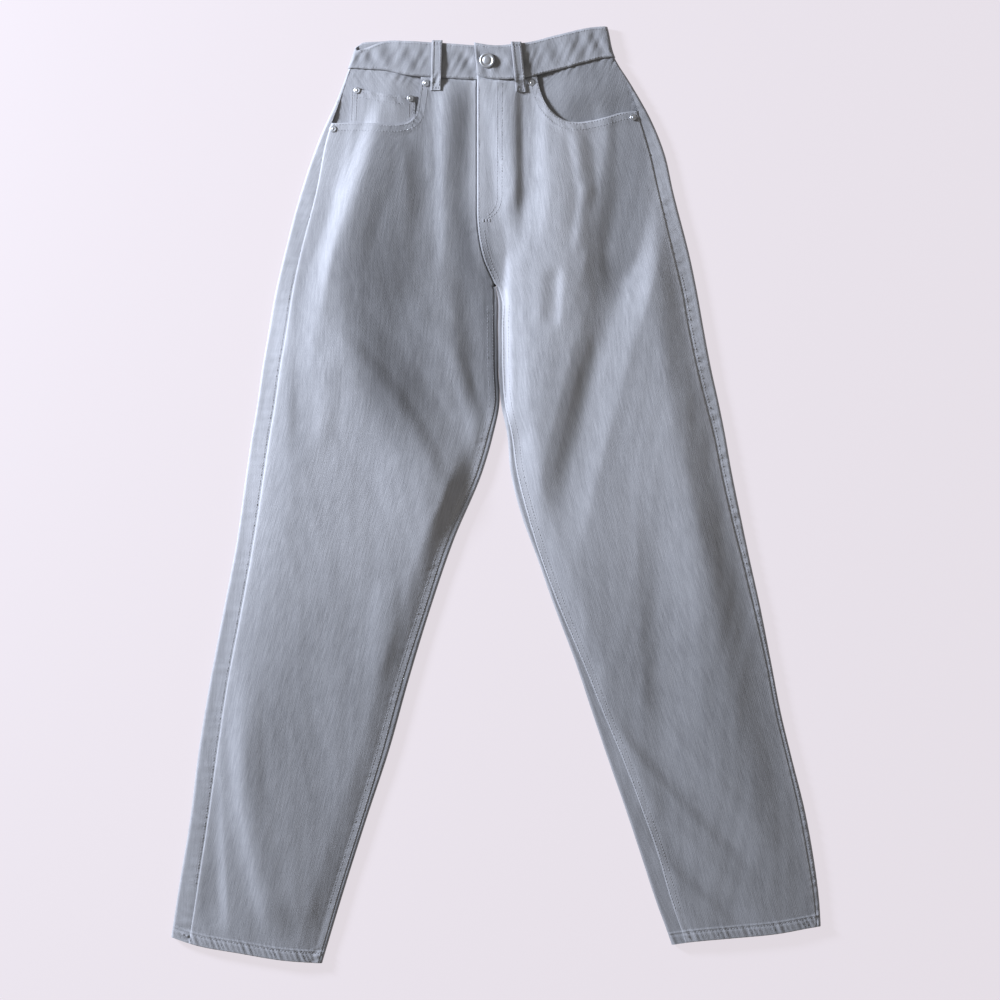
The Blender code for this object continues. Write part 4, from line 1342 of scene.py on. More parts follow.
class Cloth:
    """Makes a thin shell of cloth from two matching grids of points."""

    def build(
        self,
        name: str,
        outer: Array,
        inward: Array,
        material: bpy.types.Material,
        wear: Array | None = None,
        fade: Array | None = None,
        crisp: bool = True,
    ) -> bpy.types.Object:
        """Close a sheet from its outer face and the way to its inner face.

        Args:
            name: Object name.
            outer: Points of the outer face, rows by columns by three, in millimetres.
            inward: The way from each to the inner face.
            material: The cloth's material.
            wear: How far the seams' wear has gone at each point, from 0 to 1.
            fade: Painted shade and painted light, and on the waistband an uneven darker tone: how much
                darker or paler each point is coloured.
            crisp: False lets the shading roll over the cut edge, as it does on a turned edge.

        Returns:
            The finished object.
        """
        rows, columns = outer.shape[:2]
        bm = bmesh.new()
        bmesh.ops.create_grid(bm, x_segments=columns - 1, y_segments=rows - 1, size=0.5)
        place = bm.verts.layers.int.new("place")
        worn = bm.verts.layers.float.new("wear")
        # Painted shade and painted light per point, with the waistband's uneven darker tone, for the
        # material to scale its colour.
        mottle_and_painted_shade = bm.verts.layers.float.new("fade")
        across = np.concatenate(
            (np.zeros((rows, 1)), np.cumsum(np.linalg.norm(np.diff(outer, axis=1), axis=2), axis=1)), axis=1
        )
        across = across - across[:, columns // 2 : columns // 2 + 1]
        flat_outer = outer.reshape(-1, 3)
        flat_inward = inward.reshape(-1, 3)
        flat_across = across.ravel() * MM
        flat_wear = (np.zeros(rows * columns) if wear is None else wear.ravel()).tolist()
        flat_painted_shade_and_tone = (np.ones(rows * columns) if fade is None else 1.0 + fade.ravel()).tolist()
        for vert in bm.verts:
            column = round((vert.co.x + 0.5) * (columns - 1))
            row = round((vert.co.y + 0.5) * (rows - 1))
            spot = row * columns + column
            vert[place] = spot
            vert[worn] = flat_wear[spot]
            vert[mottle_and_painted_shade] = flat_painted_shade_and_tone[spot]
            vert.co = flat_outer[spot]
        wall = bmesh.ops.extrude_face_region(bm, geom=bm.faces[:], use_keep_orig=True)
        for item in wall["geom"]:
            if isinstance(item, bmesh.types.BMVert):
                item.co += Vector(flat_inward[item[place]])
        bmesh.ops.recalc_face_normals(bm, faces=bm.faces[:])
        bmesh.ops.translate(bm, vec=(PATTERN.settle_x, PATTERN.settle_y, 0.0), verts=bm.verts[:])
        bmesh.ops.scale(bm, vec=(MM, MM, MM), verts=bm.verts[:])
        uv = bm.loops.layers.uv.new("cloth")
        for face in bm.faces:
            face.smooth = True
            for loop in face.loops:
                spot = loop.vert[place]
                loop[uv].uv = (flat_across[spot], flat_outer[spot][1] * MM)
        if crisp:
            sharpen(bm)
        return link_mesh(name, bm, material)


def sharpen(bm: bmesh.types.BMesh) -> None:
    """Keep the shading crisp where a sheet's face turns into its cut edge.

    Args:
        bm: The mesh.
    """
    for edge in bm.edges:
        edge.smooth = edge.calc_face_angle(0.0) < SHARP_ANGLE


def link_mesh(name: str, bm: bmesh.types.BMesh, material: bpy.types.Material) -> bpy.types.Object:
    """Write a mesh out as a named object that rides on the jeans.

    Args:
        name: Object name.
        bm: The mesh; it is freed.
        material: Its material.

    Returns:
        The object.
    """
    mesh = bpy.data.meshes.new(name)
    bm.to_mesh(mesh)
    bm.free()
    mesh.materials.append(material)
    obj = bpy.data.objects.new(name, mesh)
    bpy.context.scene.collection.objects.link(obj)
    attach(obj, "root")
    LOG.info("%s: %d faces", name, len(mesh.polygons))
    return obj


def straight_down(outer: Array, depth: Array | float) -> Array:
    """The way to the inner face for a wall measured straight down.

    Args:
        outer: Points of the outer face.
        depth: Wall thickness; it is negative where the inner face is above.

    Returns:
        The way at each point.
    """
    inward = np.zeros_like(outer)
    inward[..., 2] = -depth
    return inward


def hem_levels(leg: Leg) -> list[Callable]:
    """Rows from the straight part of a leg to its hem, close together in the hem.

    Args:
        leg: Half of the jeans.

    Returns:
        Y of each row for X.
    """
    start = PATTERN.straight_bottom
    deep = CLOTH.hem_deep + 4.0

    def ease(t: float) -> Callable:
        return lambda x: (1 - t) * start + t * (leg.hem(x) + deep)

    def above(rise: float) -> Callable:
        return lambda x: leg.hem(x) + rise

    slanted = [ease(t) for t in np.linspace(0.0, 1.0, 20)[1:]]
    return slanted + [above(rise) for rise in np.linspace(deep, 0.0, 22)[1:]]


def solve_edge(level: Callable, edge: Callable) -> tuple[float, float]:
    """Point where a row meets an edge that depends on its height.

    Args:
        level: Y of the row for X.
        edge: X of the edge for Y.

    Returns:
        X and Y of the point.
    """
    x = float(edge(level(edge(0.0))))
    for _ in range(6):
        x = float(edge(float(level(x))))
    return x, float(level(x))


@dataclass
class Piece:
    """What every sub-assembly holds.

    Attributes:
        lie: The lie of the cloth.
        finishes: The materials.
        cloth: Makes the shells.
        cut: Width and length of each piece's cut, in metres, and its area in square metres.
    """

    lie: Lie
    finishes: Finishes
    cloth: Cloth = field(default_factory=Cloth)

    def stand_for(self, obj: bpy.types.Object, node: str, slot: str = "denim") -> None:
        """Show an object in place of a node.

        Args:
            obj: The new object; not used.
            node: The frame's node.
            slot: The record's material slot; not used.
        """
        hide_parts(node)

    def lay(self, name: str, node: str, outer: Array, inward: Array, **looks: object) -> bpy.types.Object:
        """Make a piece of denim and show it in place of its node.

        Args:
            name: Object name.
            node: The frame's node.
            outer: Points of the outer face.
            inward: The way from each to the inner face.
            looks: The cloth's wear, its painted shade and painted light, and whether its edge is crisp.

        Returns:
            The cloth.
        """
        cloth = self.cloth.build(name, outer, inward, self.finishes.denim, **looks)
        self.stand_for(cloth, node)
        wide, long, area = self.cut
        return cloth


@dataclass
class FrontPanel(Piece):
    """Front panel of one leg.

    Attributes:
        leg: Which half.
        columns: Cells across.
        mouth_columns: Cells along the pocket mouth.
        row_step: Length of a cell along the leg, in millimetres.
    """

    leg: Leg = RIGHT
    columns: int = 84
    mouth_columns: int = 56
    row_step: float = 3.4
    cut: tuple[float, float, float] = (0.25, 1.01, 0.194)

    def build(self) -> bpy.types.Object:
        """Make the panel.

        Returns:
            The panel.
        """
        leg = self.leg
        share = np.linspace(0.0, 1.0, self.columns + 1)
        on_mouth = share[: self.mouth_columns + 1] * self.columns / self.mouth_columns
        mouth_x, mouth_y = path_points(leg.mouth, on_mouth)
        centre = PATTERN.centre_front_x + leg.way * 0.5 * CLOTH.gap
        waist_x = np.linspace(mouth_x[-1], centre, self.columns - self.mouth_columns + 1)[1:]
        top_x = np.concatenate((mouth_x, waist_x))
        top_y = np.concatenate((mouth_y, leg.waist_seam(waist_x) - CLOTH.waist_gap))
        top_y[self.mouth_columns] = leg.waist_seam(mouth_x[-1]) - CLOTH.waist_gap
        base_x, base_y = self.row(lambda x: PATTERN.straight_top + 0.0 * x, share)
        rows = []
        for t in np.linspace(0.0, 1.0, 28)[:-1]:
            x = (1 - t) * top_x + t * base_x
            y = (1 - t) * top_y + t * base_y
            x = x + (1 - share) ** 4 * (self.outseam_x(y[0]) - x[0])
            rows.append((x, y))
        count = round((PATTERN.straight_top - PATTERN.straight_bottom) / self.row_step)
        for height in np.linspace(PATTERN.straight_top, PATTERN.straight_bottom, count + 1):
            rows.append(self.row(lambda x, height=height: height + 0.0 * x, share))
        for level in hem_levels(leg):
            rows.append(self.row(level, share))
        x = np.array([row[0] for row in rows])
        y = np.array([row[1] for row in rows])
        outer = np.stack((x, y, self.lie.panel(leg, x, y)), axis=-1)
        wear = self.wear(x, y)
        inward = straight_down(outer, self.lie.wall(leg, x, y))
        # Painted shade and painted light: colour patches darker or paler where shade and light fall on the
        # panel.
        fade = self.lie.fade(x, y)
        side = leg.side.word
        looks = {"wear": wear, "fade": fade, "crisp": False}
        return self.lay("front_" + side, "front_panel_" + side, outer, inward, **looks)

    def outseam_x(self, y: Array) -> Array:
        """X of the panel's edge at the outseam.

        Args:
            y: Heights to read.

        Returns:
            X at each height.
        """
        return self.leg.outer(y) - self.leg.way * (self.leg.outseam(y) + 0.5 * CLOTH.gap)

    def inner_x(self, y: Array) -> Array:
        """X of the panel's edge at the inseam or centre front.

        Args:
            y: Heights to read.

        Returns:
            X at each height.
        """
        gap = 0.5 * CLOTH.gap * (np.asarray(y) < PATTERN.crotch_y)
        return self.leg.inner(y) + self.leg.way * (self.leg.inseam(y) + gap)

    def row(self, level: Callable, share: Array) -> tuple[Array, Array]:
        """One row of points across the panel.

        Args:
            level: Y of the row for X.
            share: Shares from the outseam to the inseam.

        Returns:
            X and Y of the points.
        """
        outer_end, _ = solve_edge(level, self.outseam_x)
        inner_end, _ = solve_edge(level, self.inner_x)
        x = outer_end + (inner_end - outer_end) * share
        return x, level(x)

    def wear(self, x: Array, y: Array) -> Array:
        """How faded the panel is.

        Args:
            x: X of the points.
            y: Y of the points.

        Returns:
            0 to 1 at each point.
        """
        leg = self.leg
        from_hem = y - leg.hem(x)
        seams = 0.5 * np.exp(-((leg.from_outseam(x, y) / 4.0) ** 2))
        seams = seams + 0.35 * smoothstep(11.0, 8.0, leg.from_inseam(x, y))
        hem = 0.3 * smoothstep(15.0, 10.0, from_hem) * (0.6 + 0.4 * uneven_wave(x, 6.0, 0.4))
        return np.clip(seams + hem, 0.0, 1.0)


class Wrap(Piece):
    """Rows that run from a seam on top, round the side and along the underside."""

    edge_steps: int = 9
    strip_steps: int = 7
    under_steps: int = 44

    def folded_edge(self, leg: Leg, level: Callable, edge: Callable, seam: Callable, way: int) -> Array:
        """Part of a row from a seam on top to the underside, round a folded edge.

        Args:
            leg: Half of the jeans.
            level: Y of the row for X.
            edge: X of the silhouette for Y.
            seam: X of the seam for Y.
            way: The way along X from the silhouette inwards.

        Returns:
            Points, each followed by the way to its inner face.
        """
        edge_x, edge_y = solve_edge(level, edge)
        seam_x, _ = solve_edge(level, seam)
        thick = float(self.lie.wall(leg, edge_x, edge_y))
        seam_in = abs(seam_x - edge_x)
        radius = CLOTH.edge_radius
        start = math.acos(1.0 - min(radius, 0.3 * seam_in) / radius)
        first_in = radius * (1.0 - math.cos(start))
        side_height = float(self.lie.top(leg, edge_x, edge_y))
        strip_x = np.linspace(seam_x, edge_x + way * first_in, self.strip_steps + 1)[:-1]
        angles = np.linspace(start, -0.5 * math.pi, self.edge_steps + 1)
        arc_x = edge_x + way * radius * (1.0 - np.cos(angles))
        x = np.concatenate((strip_x, arc_x))
        y = level(x)
        z = self.lie.top(leg, x, y)
        below = side_height * (1.0 + np.sin(angles))
        z[self.strip_steps :] = np.where(angles > 0, z[self.strip_steps :], below)
        flat = np.zeros(self.strip_steps)
        way_x = np.concatenate((flat, way * thick * np.cos(angles)))
        way_z = np.concatenate((flat - thick, -thick * np.sin(angles)))
        return np.stack((x, y, z, way_x, 0.0 * x, way_z), axis=-1)

    def row(self, leg: Leg, level: Callable, inner_end: float | None) -> Array:
        """One whole row of a back piece.

        Args:
            leg: Half of the jeans.
            level: Y of the row for X.
            inner_end: X where the row ends on the underside, or None to go on to the inseam.

        Returns:
            Points, each followed by the way to its inner face.
        """

        def outseam(y: Array) -> Array:
            return leg.outer(y) - leg.way * (leg.outseam(y) - 0.5 * CLOTH.gap)

        def inseam(y: Array) -> Array:
            return leg.inner(y) + leg.way * (leg.inseam(y) - 0.5 * CLOTH.gap)

        outer = self.folded_edge(leg, level, leg.outer, outseam, -leg.way)
        thick = abs(outer[-1][-1])
        spare = self.edge_steps + self.strip_steps
        if inner_end is None:
            inner = self.folded_edge(leg, level, leg.inner, inseam, leg.way)
            end_x = inner[-1][0]
        else:
            end_x = inner_end + leg.way * 0.06 * spare
        x = np.linspace(outer[-1][0], end_x, self.under_steps + 1)[1:]
        if inner_end is not None:
            x = np.concatenate((x, inner_end + leg.way * 0.06 * np.arange(spare - 1, -1, -1)))
        y = level(x)
        under = np.stack((x, y, self.lie.underside(x, y), 0.0 * x, 0.0 * x, thick + 0.0 * x), axis=-1)
        if inner_end is None:
            return np.concatenate((outer, under, inner[-2::-1]))
        return np.concatenate((outer, under))


@dataclass
class BackPanel(Wrap):
    """Back panel of one leg, wrapping round both edges.

    Attributes:
        leg: Which half.
        row_step: Length of a cell along the leg, in millimetres.
    """

    leg: Leg = RIGHT
    row_step: float = 3.8
    cut: tuple[float, float, float] = (0.3, 0.98, 0.229)

    def build(self) -> bpy.types.Object:
        """Make the panel.

        Returns:
            The panel.
        """
        leg = self.leg
        centre = PATTERN.centre_back_x + leg.way * 0.5 * CLOTH.gap
        top_y = PATTERN.straight_top
        rows = []
        for t in np.linspace(0.0, 1.0, 24)[:-1]:

            def level(x: Array, t: float = t) -> Array:
                return (1 - t) * (leg.yoke_seam(x) - 0.5 * CLOTH.gap) + t * top_y

            rows.append(self.row(leg, level, centre))
        split = PATTERN.crotch_y
        upper = np.linspace(top_y, split + 1.5, 27)
        lower_count = round((split - PATTERN.straight_bottom) / self.row_step)
        lower = np.linspace(split - 1.5, PATTERN.straight_bottom, lower_count)
        for height in np.concatenate((upper, lower)):
            end = centre if height > split else None
            rows.append(self.row(leg, lambda x, height=height: height + 0.0 * x, end))
        for level in hem_levels(leg):
            rows.append(self.row(leg, level, None))
        grid = np.array(rows)
        wear = self.wear(grid[..., 0], grid[..., 1])
        # Painted shade and painted light: colour patches darker or paler where shade and light fall on the
        # panel.
        fade = self.lie.fade(grid[..., 0], grid[..., 1])
        side = leg.side.word
        looks = {"wear": wear, "fade": fade}
        return self.lay("back_" + side, "back_panel_" + side, grid[..., :3], grid[..., 3:], **looks)

    def wear(self, x: Array, y: Array) -> Array:
        """How faded the panel is, palest along the outseam's strip.

        Args:
            x: X of the points.
            y: Y of the points.

        Returns:
            0 to 1 at each point.
        """
        out = self.leg.way * (self.leg.outer(y) - x)
        strip = 0.4 * smoothstep(30.0, 10.0, out) * (0.7 + 0.3 * uneven_wave(y, 11.0, 1.3))
        return np.clip(strip, 0.0, 1.0)


@dataclass
class Yoke(Wrap):
    """Yoke of one half.

    Attributes:
        leg: Which half.
    """

    leg: Leg = RIGHT
    cut: tuple[float, float, float] = (0.2, 0.08, 0.01)

    def build(self) -> bpy.types.Object:
        """Make the yoke.

        Returns:
            The yoke.
        """
        leg = self.leg
        centre = PATTERN.centre_back_x + leg.way * 0.5 * CLOTH.gap
        spare = self.edge_steps + self.strip_steps
        rows = []
        for t in np.linspace(0.0, 1.0, 20):

            def level(x: Array, t: float = t) -> Array:
                seam = table_value(BAND_BACK, "x", "seam", x) - CLOTH.waist_gap
                return (1 - t) * seam + t * (leg.yoke_seam(x) + 0.5 * CLOTH.gap)

            rows.append(self.row(leg, level, centre)[:-spare])
        grid = np.array(rows)
        side = leg.side.word
        return self.lay("yoke_cloth_" + side, "yoke_" + side, grid[..., :3], grid[..., 3:])


@dataclass
class HipPocket(Piece):
    """Facing behind one pocket mouth.

    Attributes:
        leg: Which half.
        columns: Cells from the waist seam round to the outseam.
        rows: Cells from the outer edge to under the panel.
        facing_painted_shade: Painted shade: how much darker each side's facing is coloured, for the shade it
            lies in inside the pocket mouth.
    """

    leg: Leg = RIGHT
    columns: int = 70
    rows: int = 34
    # Painted shade: each facing's colour is darkened for the shade inside its pocket, the left one most.
    facing_painted_shade: dict[Side, float] = field(default_factory=lambda: {Side.RIGHT: -0.06, Side.LEFT: -0.24})
    cut: tuple[float, float, float] = (0.14, 0.09, 0.008)

    def build(self) -> bpy.types.Object:
        """Make the facing.

        Returns:
            The facing.
        """
        leg = self.leg
        way = leg.way
        half = self.columns // 2
        corner_y = float(leg.waist_seam(leg.outer(486.0))) - CLOTH.waist_gap

        def outseam_x(y: Array) -> Array:
            return leg.outer(y) - way * (leg.outseam(y) + 0.5 * CLOTH.gap)

        waist_end = leg.mouth[-1].x - way * MOUTH.under
        waist_x = np.linspace(waist_end, float(outseam_x(corner_y)), half + 1)
        side_y = np.linspace(corner_y, leg.mouth[0].y - MOUTH.under, half + 1)[1:]
        top_x = np.concatenate((waist_x, outseam_x(side_y)))
        top_y = np.concatenate((leg.waist_seam(waist_x) - CLOTH.waist_gap, side_y))
        mouth_x, mouth_y = path_points(leg.mouth[::-1], np.linspace(0.0, 1.0, self.columns + 1))
        slope_x = np.gradient(mouth_x)
        slope_y = np.gradient(mouth_y)
        length = np.hypot(slope_x, slope_y)
        under_x = mouth_x + way * MOUTH.under * slope_y / length
        under_y = mouth_y - way * MOUTH.under * slope_x / length
        ease = np.linspace(0.0, 1.0, self.columns + 1)
        under_x = under_x + (1 - ease) ** 6 * (waist_end - under_x[0])
        under_y = under_y + (1 - ease) ** 6 * (leg.waist_seam(waist_end) - MOUTH.under - under_y[0])
        under_x = under_x + ease**6 * (outseam_x(side_y[-1]) - way * 14.0 - under_x[-1])
        under_y = under_y + ease**6 * (side_y[-1] - 2.0 - under_y[-1])
        share = np.linspace(0.0, 1.0, self.rows + 1)[:, None]
        x = (1 - share) * top_x + share * under_x
        y = (1 - share) * top_y + share * under_y
        outer = np.stack((x, y, self.lie.facing(leg, x, y)), axis=-1)
        inward = straight_down(outer, CLOTH.wall)
        facing_painted_shade = np.full(x.shape, self.facing_painted_shade[leg.side])
        side = leg.side.word
        return self.lay("facing_" + side, "hip_facing_" + side, outer, inward, fade=facing_painted_shade)


@dataclass
class CoinPocket(Piece):
    """Coin pocket on the right facing.

    Attributes:
        wall: Thickness of its cloth, in millimetres.
        gap: Space over the facing.
        under: How far it runs under the front panel.
    """

    wall: float = 1.0
    gap: float = 0.4
    under: float = 5.0
    cut: tuple[float, float, float] = (0.075, 0.045, 0.003)

    def surface(self, leg: Leg, x: Array, y: Array) -> Array:
        """Outer face of the coin pocket.

        Args:
            leg: Half of the jeans.
            x: X of the points.
            y: Y of the points.

        Returns:
            Height at each point.
        """
        outer_top, _, inner_top, _ = COIN_SIDES
        along = np.clip((x - outer_top.x) / (inner_top.x - outer_top.x), 0.0, 1.0)
        from_top = outer_top.y + (inner_top.y - outer_top.y) * along - y
        loose = 0.4 * np.exp(-(((from_top - 5.0) / 7.0) ** 2)) * (1.0 + uneven_wave(x + 0.6 * y, 13.0, 0.3))
        return self.lie.facing(leg, x, y) + self.gap + self.wall + loose

    def build(self) -> bpy.types.Object:
        """Make the pocket.

        Returns:
            The pocket.
        """
        outer_top, outer_foot, inner_top, inner_foot = COIN_SIDES
        across = np.linspace(0.0, 1.0, 46)
        path_x, path_y = path_points(MOUTH_RIGHT, np.linspace(0.0, 0.7, 60))
        rows = []
        for down in np.linspace(0.0, 1.0, 26):
            outer_x = outer_top.x + (outer_foot.x - outer_top.x) * down
            inner_x = inner_top.x + (inner_foot.x - inner_top.x) * down
            x = outer_x + (inner_x - outer_x) * across
            sag = COIN_TOP_SAG * 4 * across * (1 - across)
            top = outer_top.y + (inner_top.y - outer_top.y) * across - sag
            foot = np.interp(x, path_x, path_y) - self.under
            rows.append((x, top + (foot - top) * down))
        x = np.array([row[0] for row in rows])
        y = np.array([row[1] for row in rows])
        outer = np.stack((x, y, self.surface(RIGHT, x, y)), axis=-1)
        return self.lay("coin_patch", "coin_pocket", outer, straight_down(outer, self.wall))


@dataclass
class Waistband(Piece):
    """The waistband, one strip from its under end round the back to the flap.

    Attributes:
        rows: Cells down the band.
    """

    rows: int = 14
    cut: tuple[float, float, float] = (0.63, 0.037, 0.0228)

    def edge_x(self, leg: Leg, y: Array) -> Array:
        """X of the band's own silhouette.

        Args:
            leg: Half of the jeans.
            y: Heights to read.

        Returns:
            X at each height.
        """
        return leg.outer(y) + leg.way * BAND.out

    def front(self, leg: Leg, free_top: float, free_foot: float, steps: int) -> list:
        """Stations in front, from a free end to the side.

        Args:
            leg: Half of the jeans.
            free_top: X of the free end's upper corner.
            free_foot: X of its lower corner.
            steps: Cells along it.

        Returns:
            Outer points and the way inwards for each station.
        """
        down = np.linspace(0.0, 1.0, self.rows + 1)
        radius = CLOTH.edge_radius + BAND.out
        guess = float(self.edge_x(leg, 505.0)) - leg.way * radius
        top_y = float(table_value(leg.band, "x", "top", guess))
        foot_y = float(table_value(leg.band, "x", "seam", guess))
        fold_top = float(self.edge_x(leg, top_y)) - leg.way * radius
        fold_foot = float(self.edge_x(leg, foot_y)) - leg.way * radius
        stations = []
        for t in np.linspace(0.0, 1.0, steps + 1):
            xt = free_top + (fold_top - free_top) * t
            xf = free_foot + (fold_foot - free_foot) * t
            yt = float(table_value(leg.band, "x", "top", xt))
            yf = float(table_value(leg.band, "x", "seam", xf))
            x = xt + (xf - xt) * down
            y = yt + (yf - yt) * down
            outer = np.stack((x, y, self.lie.band(leg, x, y)), axis=-1)
            stations.append((outer, straight_down(outer, BAND.wall)))
        return stations

    def fold(self, leg: Leg, front: Array) -> list:
        """Stations round one side fold.

        Args:
            leg: Half of the jeans.
            front: Last station in front.

        Returns:
            Outer points and the way inwards for each station.
        """
        down = np.linspace(0.0, 1.0, self.rows + 1)
        radius = CLOTH.edge_radius + BAND.out
        back_x = float(leg.outer(500.0)) - leg.way * CLOTH.edge_radius
        back_top = float(table_value(BAND_BACK, "x", "top", back_x))
        back_foot = float(table_value(BAND_BACK, "x", "seam", back_x))
        y_back = back_top + (back_foot - back_top) * down
        half = 0.5 * front[:, 2]
        stations = []
        for angle in np.linspace(0.5 * math.pi, -0.5 * math.pi, 13)[1:]:
            t = (0.5 * math.pi - angle) / math.pi
            y = front[:, 1] + (y_back - front[:, 1]) * t
            x = self.edge_x(leg, y) - leg.way * radius * (1.0 - math.cos(angle))
            z = half * (1.0 + math.sin(angle))
            way = np.zeros((len(down), 3))
            way[:, 0] = -leg.way * BAND.wall * math.cos(angle)
            way[:, 2] = -BAND.wall * math.sin(angle)
            stations.append((np.stack((x, y, z), axis=-1), way))
        return stations

    def back(self, start: Array, end: Array) -> list:
        """Stations along the back.

        Args:
            start: Last station of the right fold.
            end: Last station of the left fold.

        Returns:
            Outer points and the way inwards for each station.
        """
        down = np.linspace(0.0, 1.0, self.rows + 1)
        stations = []
        for t in np.linspace(0.0, 1.0, 90)[1:-1]:
            x = start[:, 0] + (end[:, 0] - start[:, 0]) * t
            yt = float(table_value(BAND_BACK, "x", "top", x[0]))
            yf = float(table_value(BAND_BACK, "x", "seam", x[-1]))
            y = yt + (yf - yt) * down
            outer = np.stack((x, y, self.lie.underside(x, y)), axis=-1)
            stations.append((outer, straight_down(outer, -BAND.wall)))
        return stations

    def build(self) -> bpy.types.Object:
        """Make the band.

        Returns:
            The band.
        """
        right = self.front(RIGHT, BAND.under_end_x, BAND.under_end_x, 70)
        left = self.front(LEFT, BAND.flap_top_x, BAND.flap_foot_x, 66)
        right_fold = self.fold(RIGHT, right[-1][0])
        left_fold = self.fold(LEFT, left[-1][0])
        back = self.back(right_fold[-1][0], left_fold[-1][0])
        stations = right + right_fold + back + left_fold[::-1] + left[::-1]
        outer = np.stack([station[0] for station in stations], axis=1)
        inward = np.stack([station[1] for station in stations], axis=1)
        up = np.linspace(1.0, 0.0, self.rows + 1)[:, None] + 0.0 * outer[..., 0]
        wear = 0.35 * np.clip(np.abs(2.0 * up - 1.0) ** 3, 0.0, 1.0)
        # The band's colour is darker all over and varies in a slow wave along it.
        fade = 0.08 * uneven_wave(outer[..., 0] + 1.5 * outer[..., 1], 46.0, 0.4) - 0.15
        return self.lay("waistband_cloth", "waistband", outer, inward, wear=wear, fade=fade, crisp=False)


@dataclass
class BeltLoops(Piece):
    """Two loops in front and three behind.

    Attributes:
        wall: Thickness of a loop, in millimetres.
        arch: How far a front loop stands off in its middle.
        pressed: How much thinner a front loop's wall is than its stand-off.
    """

    wall: float = 1.8
    arch: float = LOOP_ARCH
    pressed: float = 0.6
    cut: tuple[float, float, float] = (0.012, 0.056, 0.00067)

    def front(self, leg: Leg) -> bpy.types.Object:
        """Make one loop in front.

        Args:
            leg: Half of the jeans that it is on.

        Returns:
            The loop.
        """
        top, foot = FRONT_LOOPS[leg.side.word]
        down = np.linspace(0.0, 1.0, 40)
        across = np.linspace(-0.5, 0.5, 13) * LOOP_WIDE
        centre_x = top.x + (foot.x - top.x) * down
        centre_y = top.y + (foot.y - top.y) * down
        x = centre_x[:, None] + across[None, :]
        y = centre_y[:, None] + 0.0 * across[None, :]
        arch = self.arch * np.sin(math.pi * np.clip(down, 0.0, LOOP_BOWED) / LOOP_BOWED)
        turned = 0.5 * smoothstep(4.4, 3.4, np.abs(across))
        rim = -0.7 * smoothstep(5.0, 6.0, np.abs(across))
        dents = 0.2 * uneven_wave(centre_y, 7.0, 1.1)[:, None] * np.abs(across)[None, :] / 6.0
        base = self.lie.front(leg, x, y)
        z = base + LOOP_SEAT + arch[:, None] + self.wall - turned * 0.8 + rim + dents
        outer = np.stack((x, y, z), axis=-1)
        side = leg.side.word
        inward = straight_down(outer, self.wall - self.pressed)
        return self.lay("loop_front_" + side, "belt_loop_front_" + side, outer, inward)

    def behind(self, name: str, loop_x: float) -> bpy.types.Object:
        """Make one loop behind, flush in the underside.

        Args:
            name: Which loop.
            loop_x: X of its centre.

        Returns:
            The loop.
        """
        top = float(table_value(BAND_BACK, "x", "top", loop_x))
        foot = float(table_value(BAND_BACK, "x", "seam", loop_x)) - LOOP_BELOW
        x, y = np.meshgrid(loop_x + np.linspace(-0.5, 0.5, 7) * LOOP_WIDE, np.linspace(top, foot, 24))
        sink = 0.3 * smoothstep(5.0, 6.0, np.abs(x - loop_x))
        outer = np.stack((x, y, sink), axis=-1)
        inward = straight_down(outer, sink - CLOTH.flush)
        return self.lay("loop_back_" + name, "belt_loop_back_" + name, outer, inward)

    def build(self) -> list[bpy.types.Object]:
        """Make all loops.

        Returns:
            The loops.
        """
        loops = [self.front(RIGHT), self.front(LEFT)]
        return loops + [self.behind(name, loop_x) for name, loop_x in BACK_LOOPS.items()]


@dataclass
class BackPockets(Piece):
    """Plain patch pockets behind, flush in the underside."""

    cut: tuple[float, float, float] = (0.132, 0.142, 0.016)

    def outline(self, name: str, share: Array, down: Array) -> tuple[Array, Array]:
        """Points of a pocket.

        Args:
            name: Which pocket.
            share: Place across it, from -1 to 1.
            down: Place down it, from 0 to 1.

        Returns:
            X and Y of the points.
        """
        centre = POCKET_CENTRES[name]
        turn = math.radians(POCKET_TILT[name])
        wide = POCKET_TOP_WIDE + (POCKET_FOOT_WIDE - POCKET_TOP_WIDE) * down
        across = 0.5 * wide * share
        up = 0.5 * POCKET_HIGH - POCKET_HIGH * down - POCKET_POINT * (1.0 - np.abs(share)) * down
        x = centre.x + across * math.cos(turn) - up * math.sin(turn)
        y = centre.y + up * math.cos(turn) + across * math.sin(turn)
        return x, y

    def build(self) -> list[bpy.types.Object]:
        """Make both pockets.

        Returns:
            The pockets.
        """
        made = []
        for name in POCKET_CENTRES:
            share, down = np.meshgrid(np.linspace(-1.0, 1.0, 51), np.linspace(0.0, 1.0, 50))
            x, y = self.outline(name, share, down)
            rim = np.maximum(np.abs(share), np.abs(2.0 * down - 1.0))
            sink = 0.25 * smoothstep(0.975, 1.0, rim)
            outer = np.stack((x, y, sink), axis=-1)
            inward = straight_down(outer, sink - CLOTH.flush)
            made.append(self.lay("patch_" + name, "back_pocket_" + name, outer, inward))
        return made


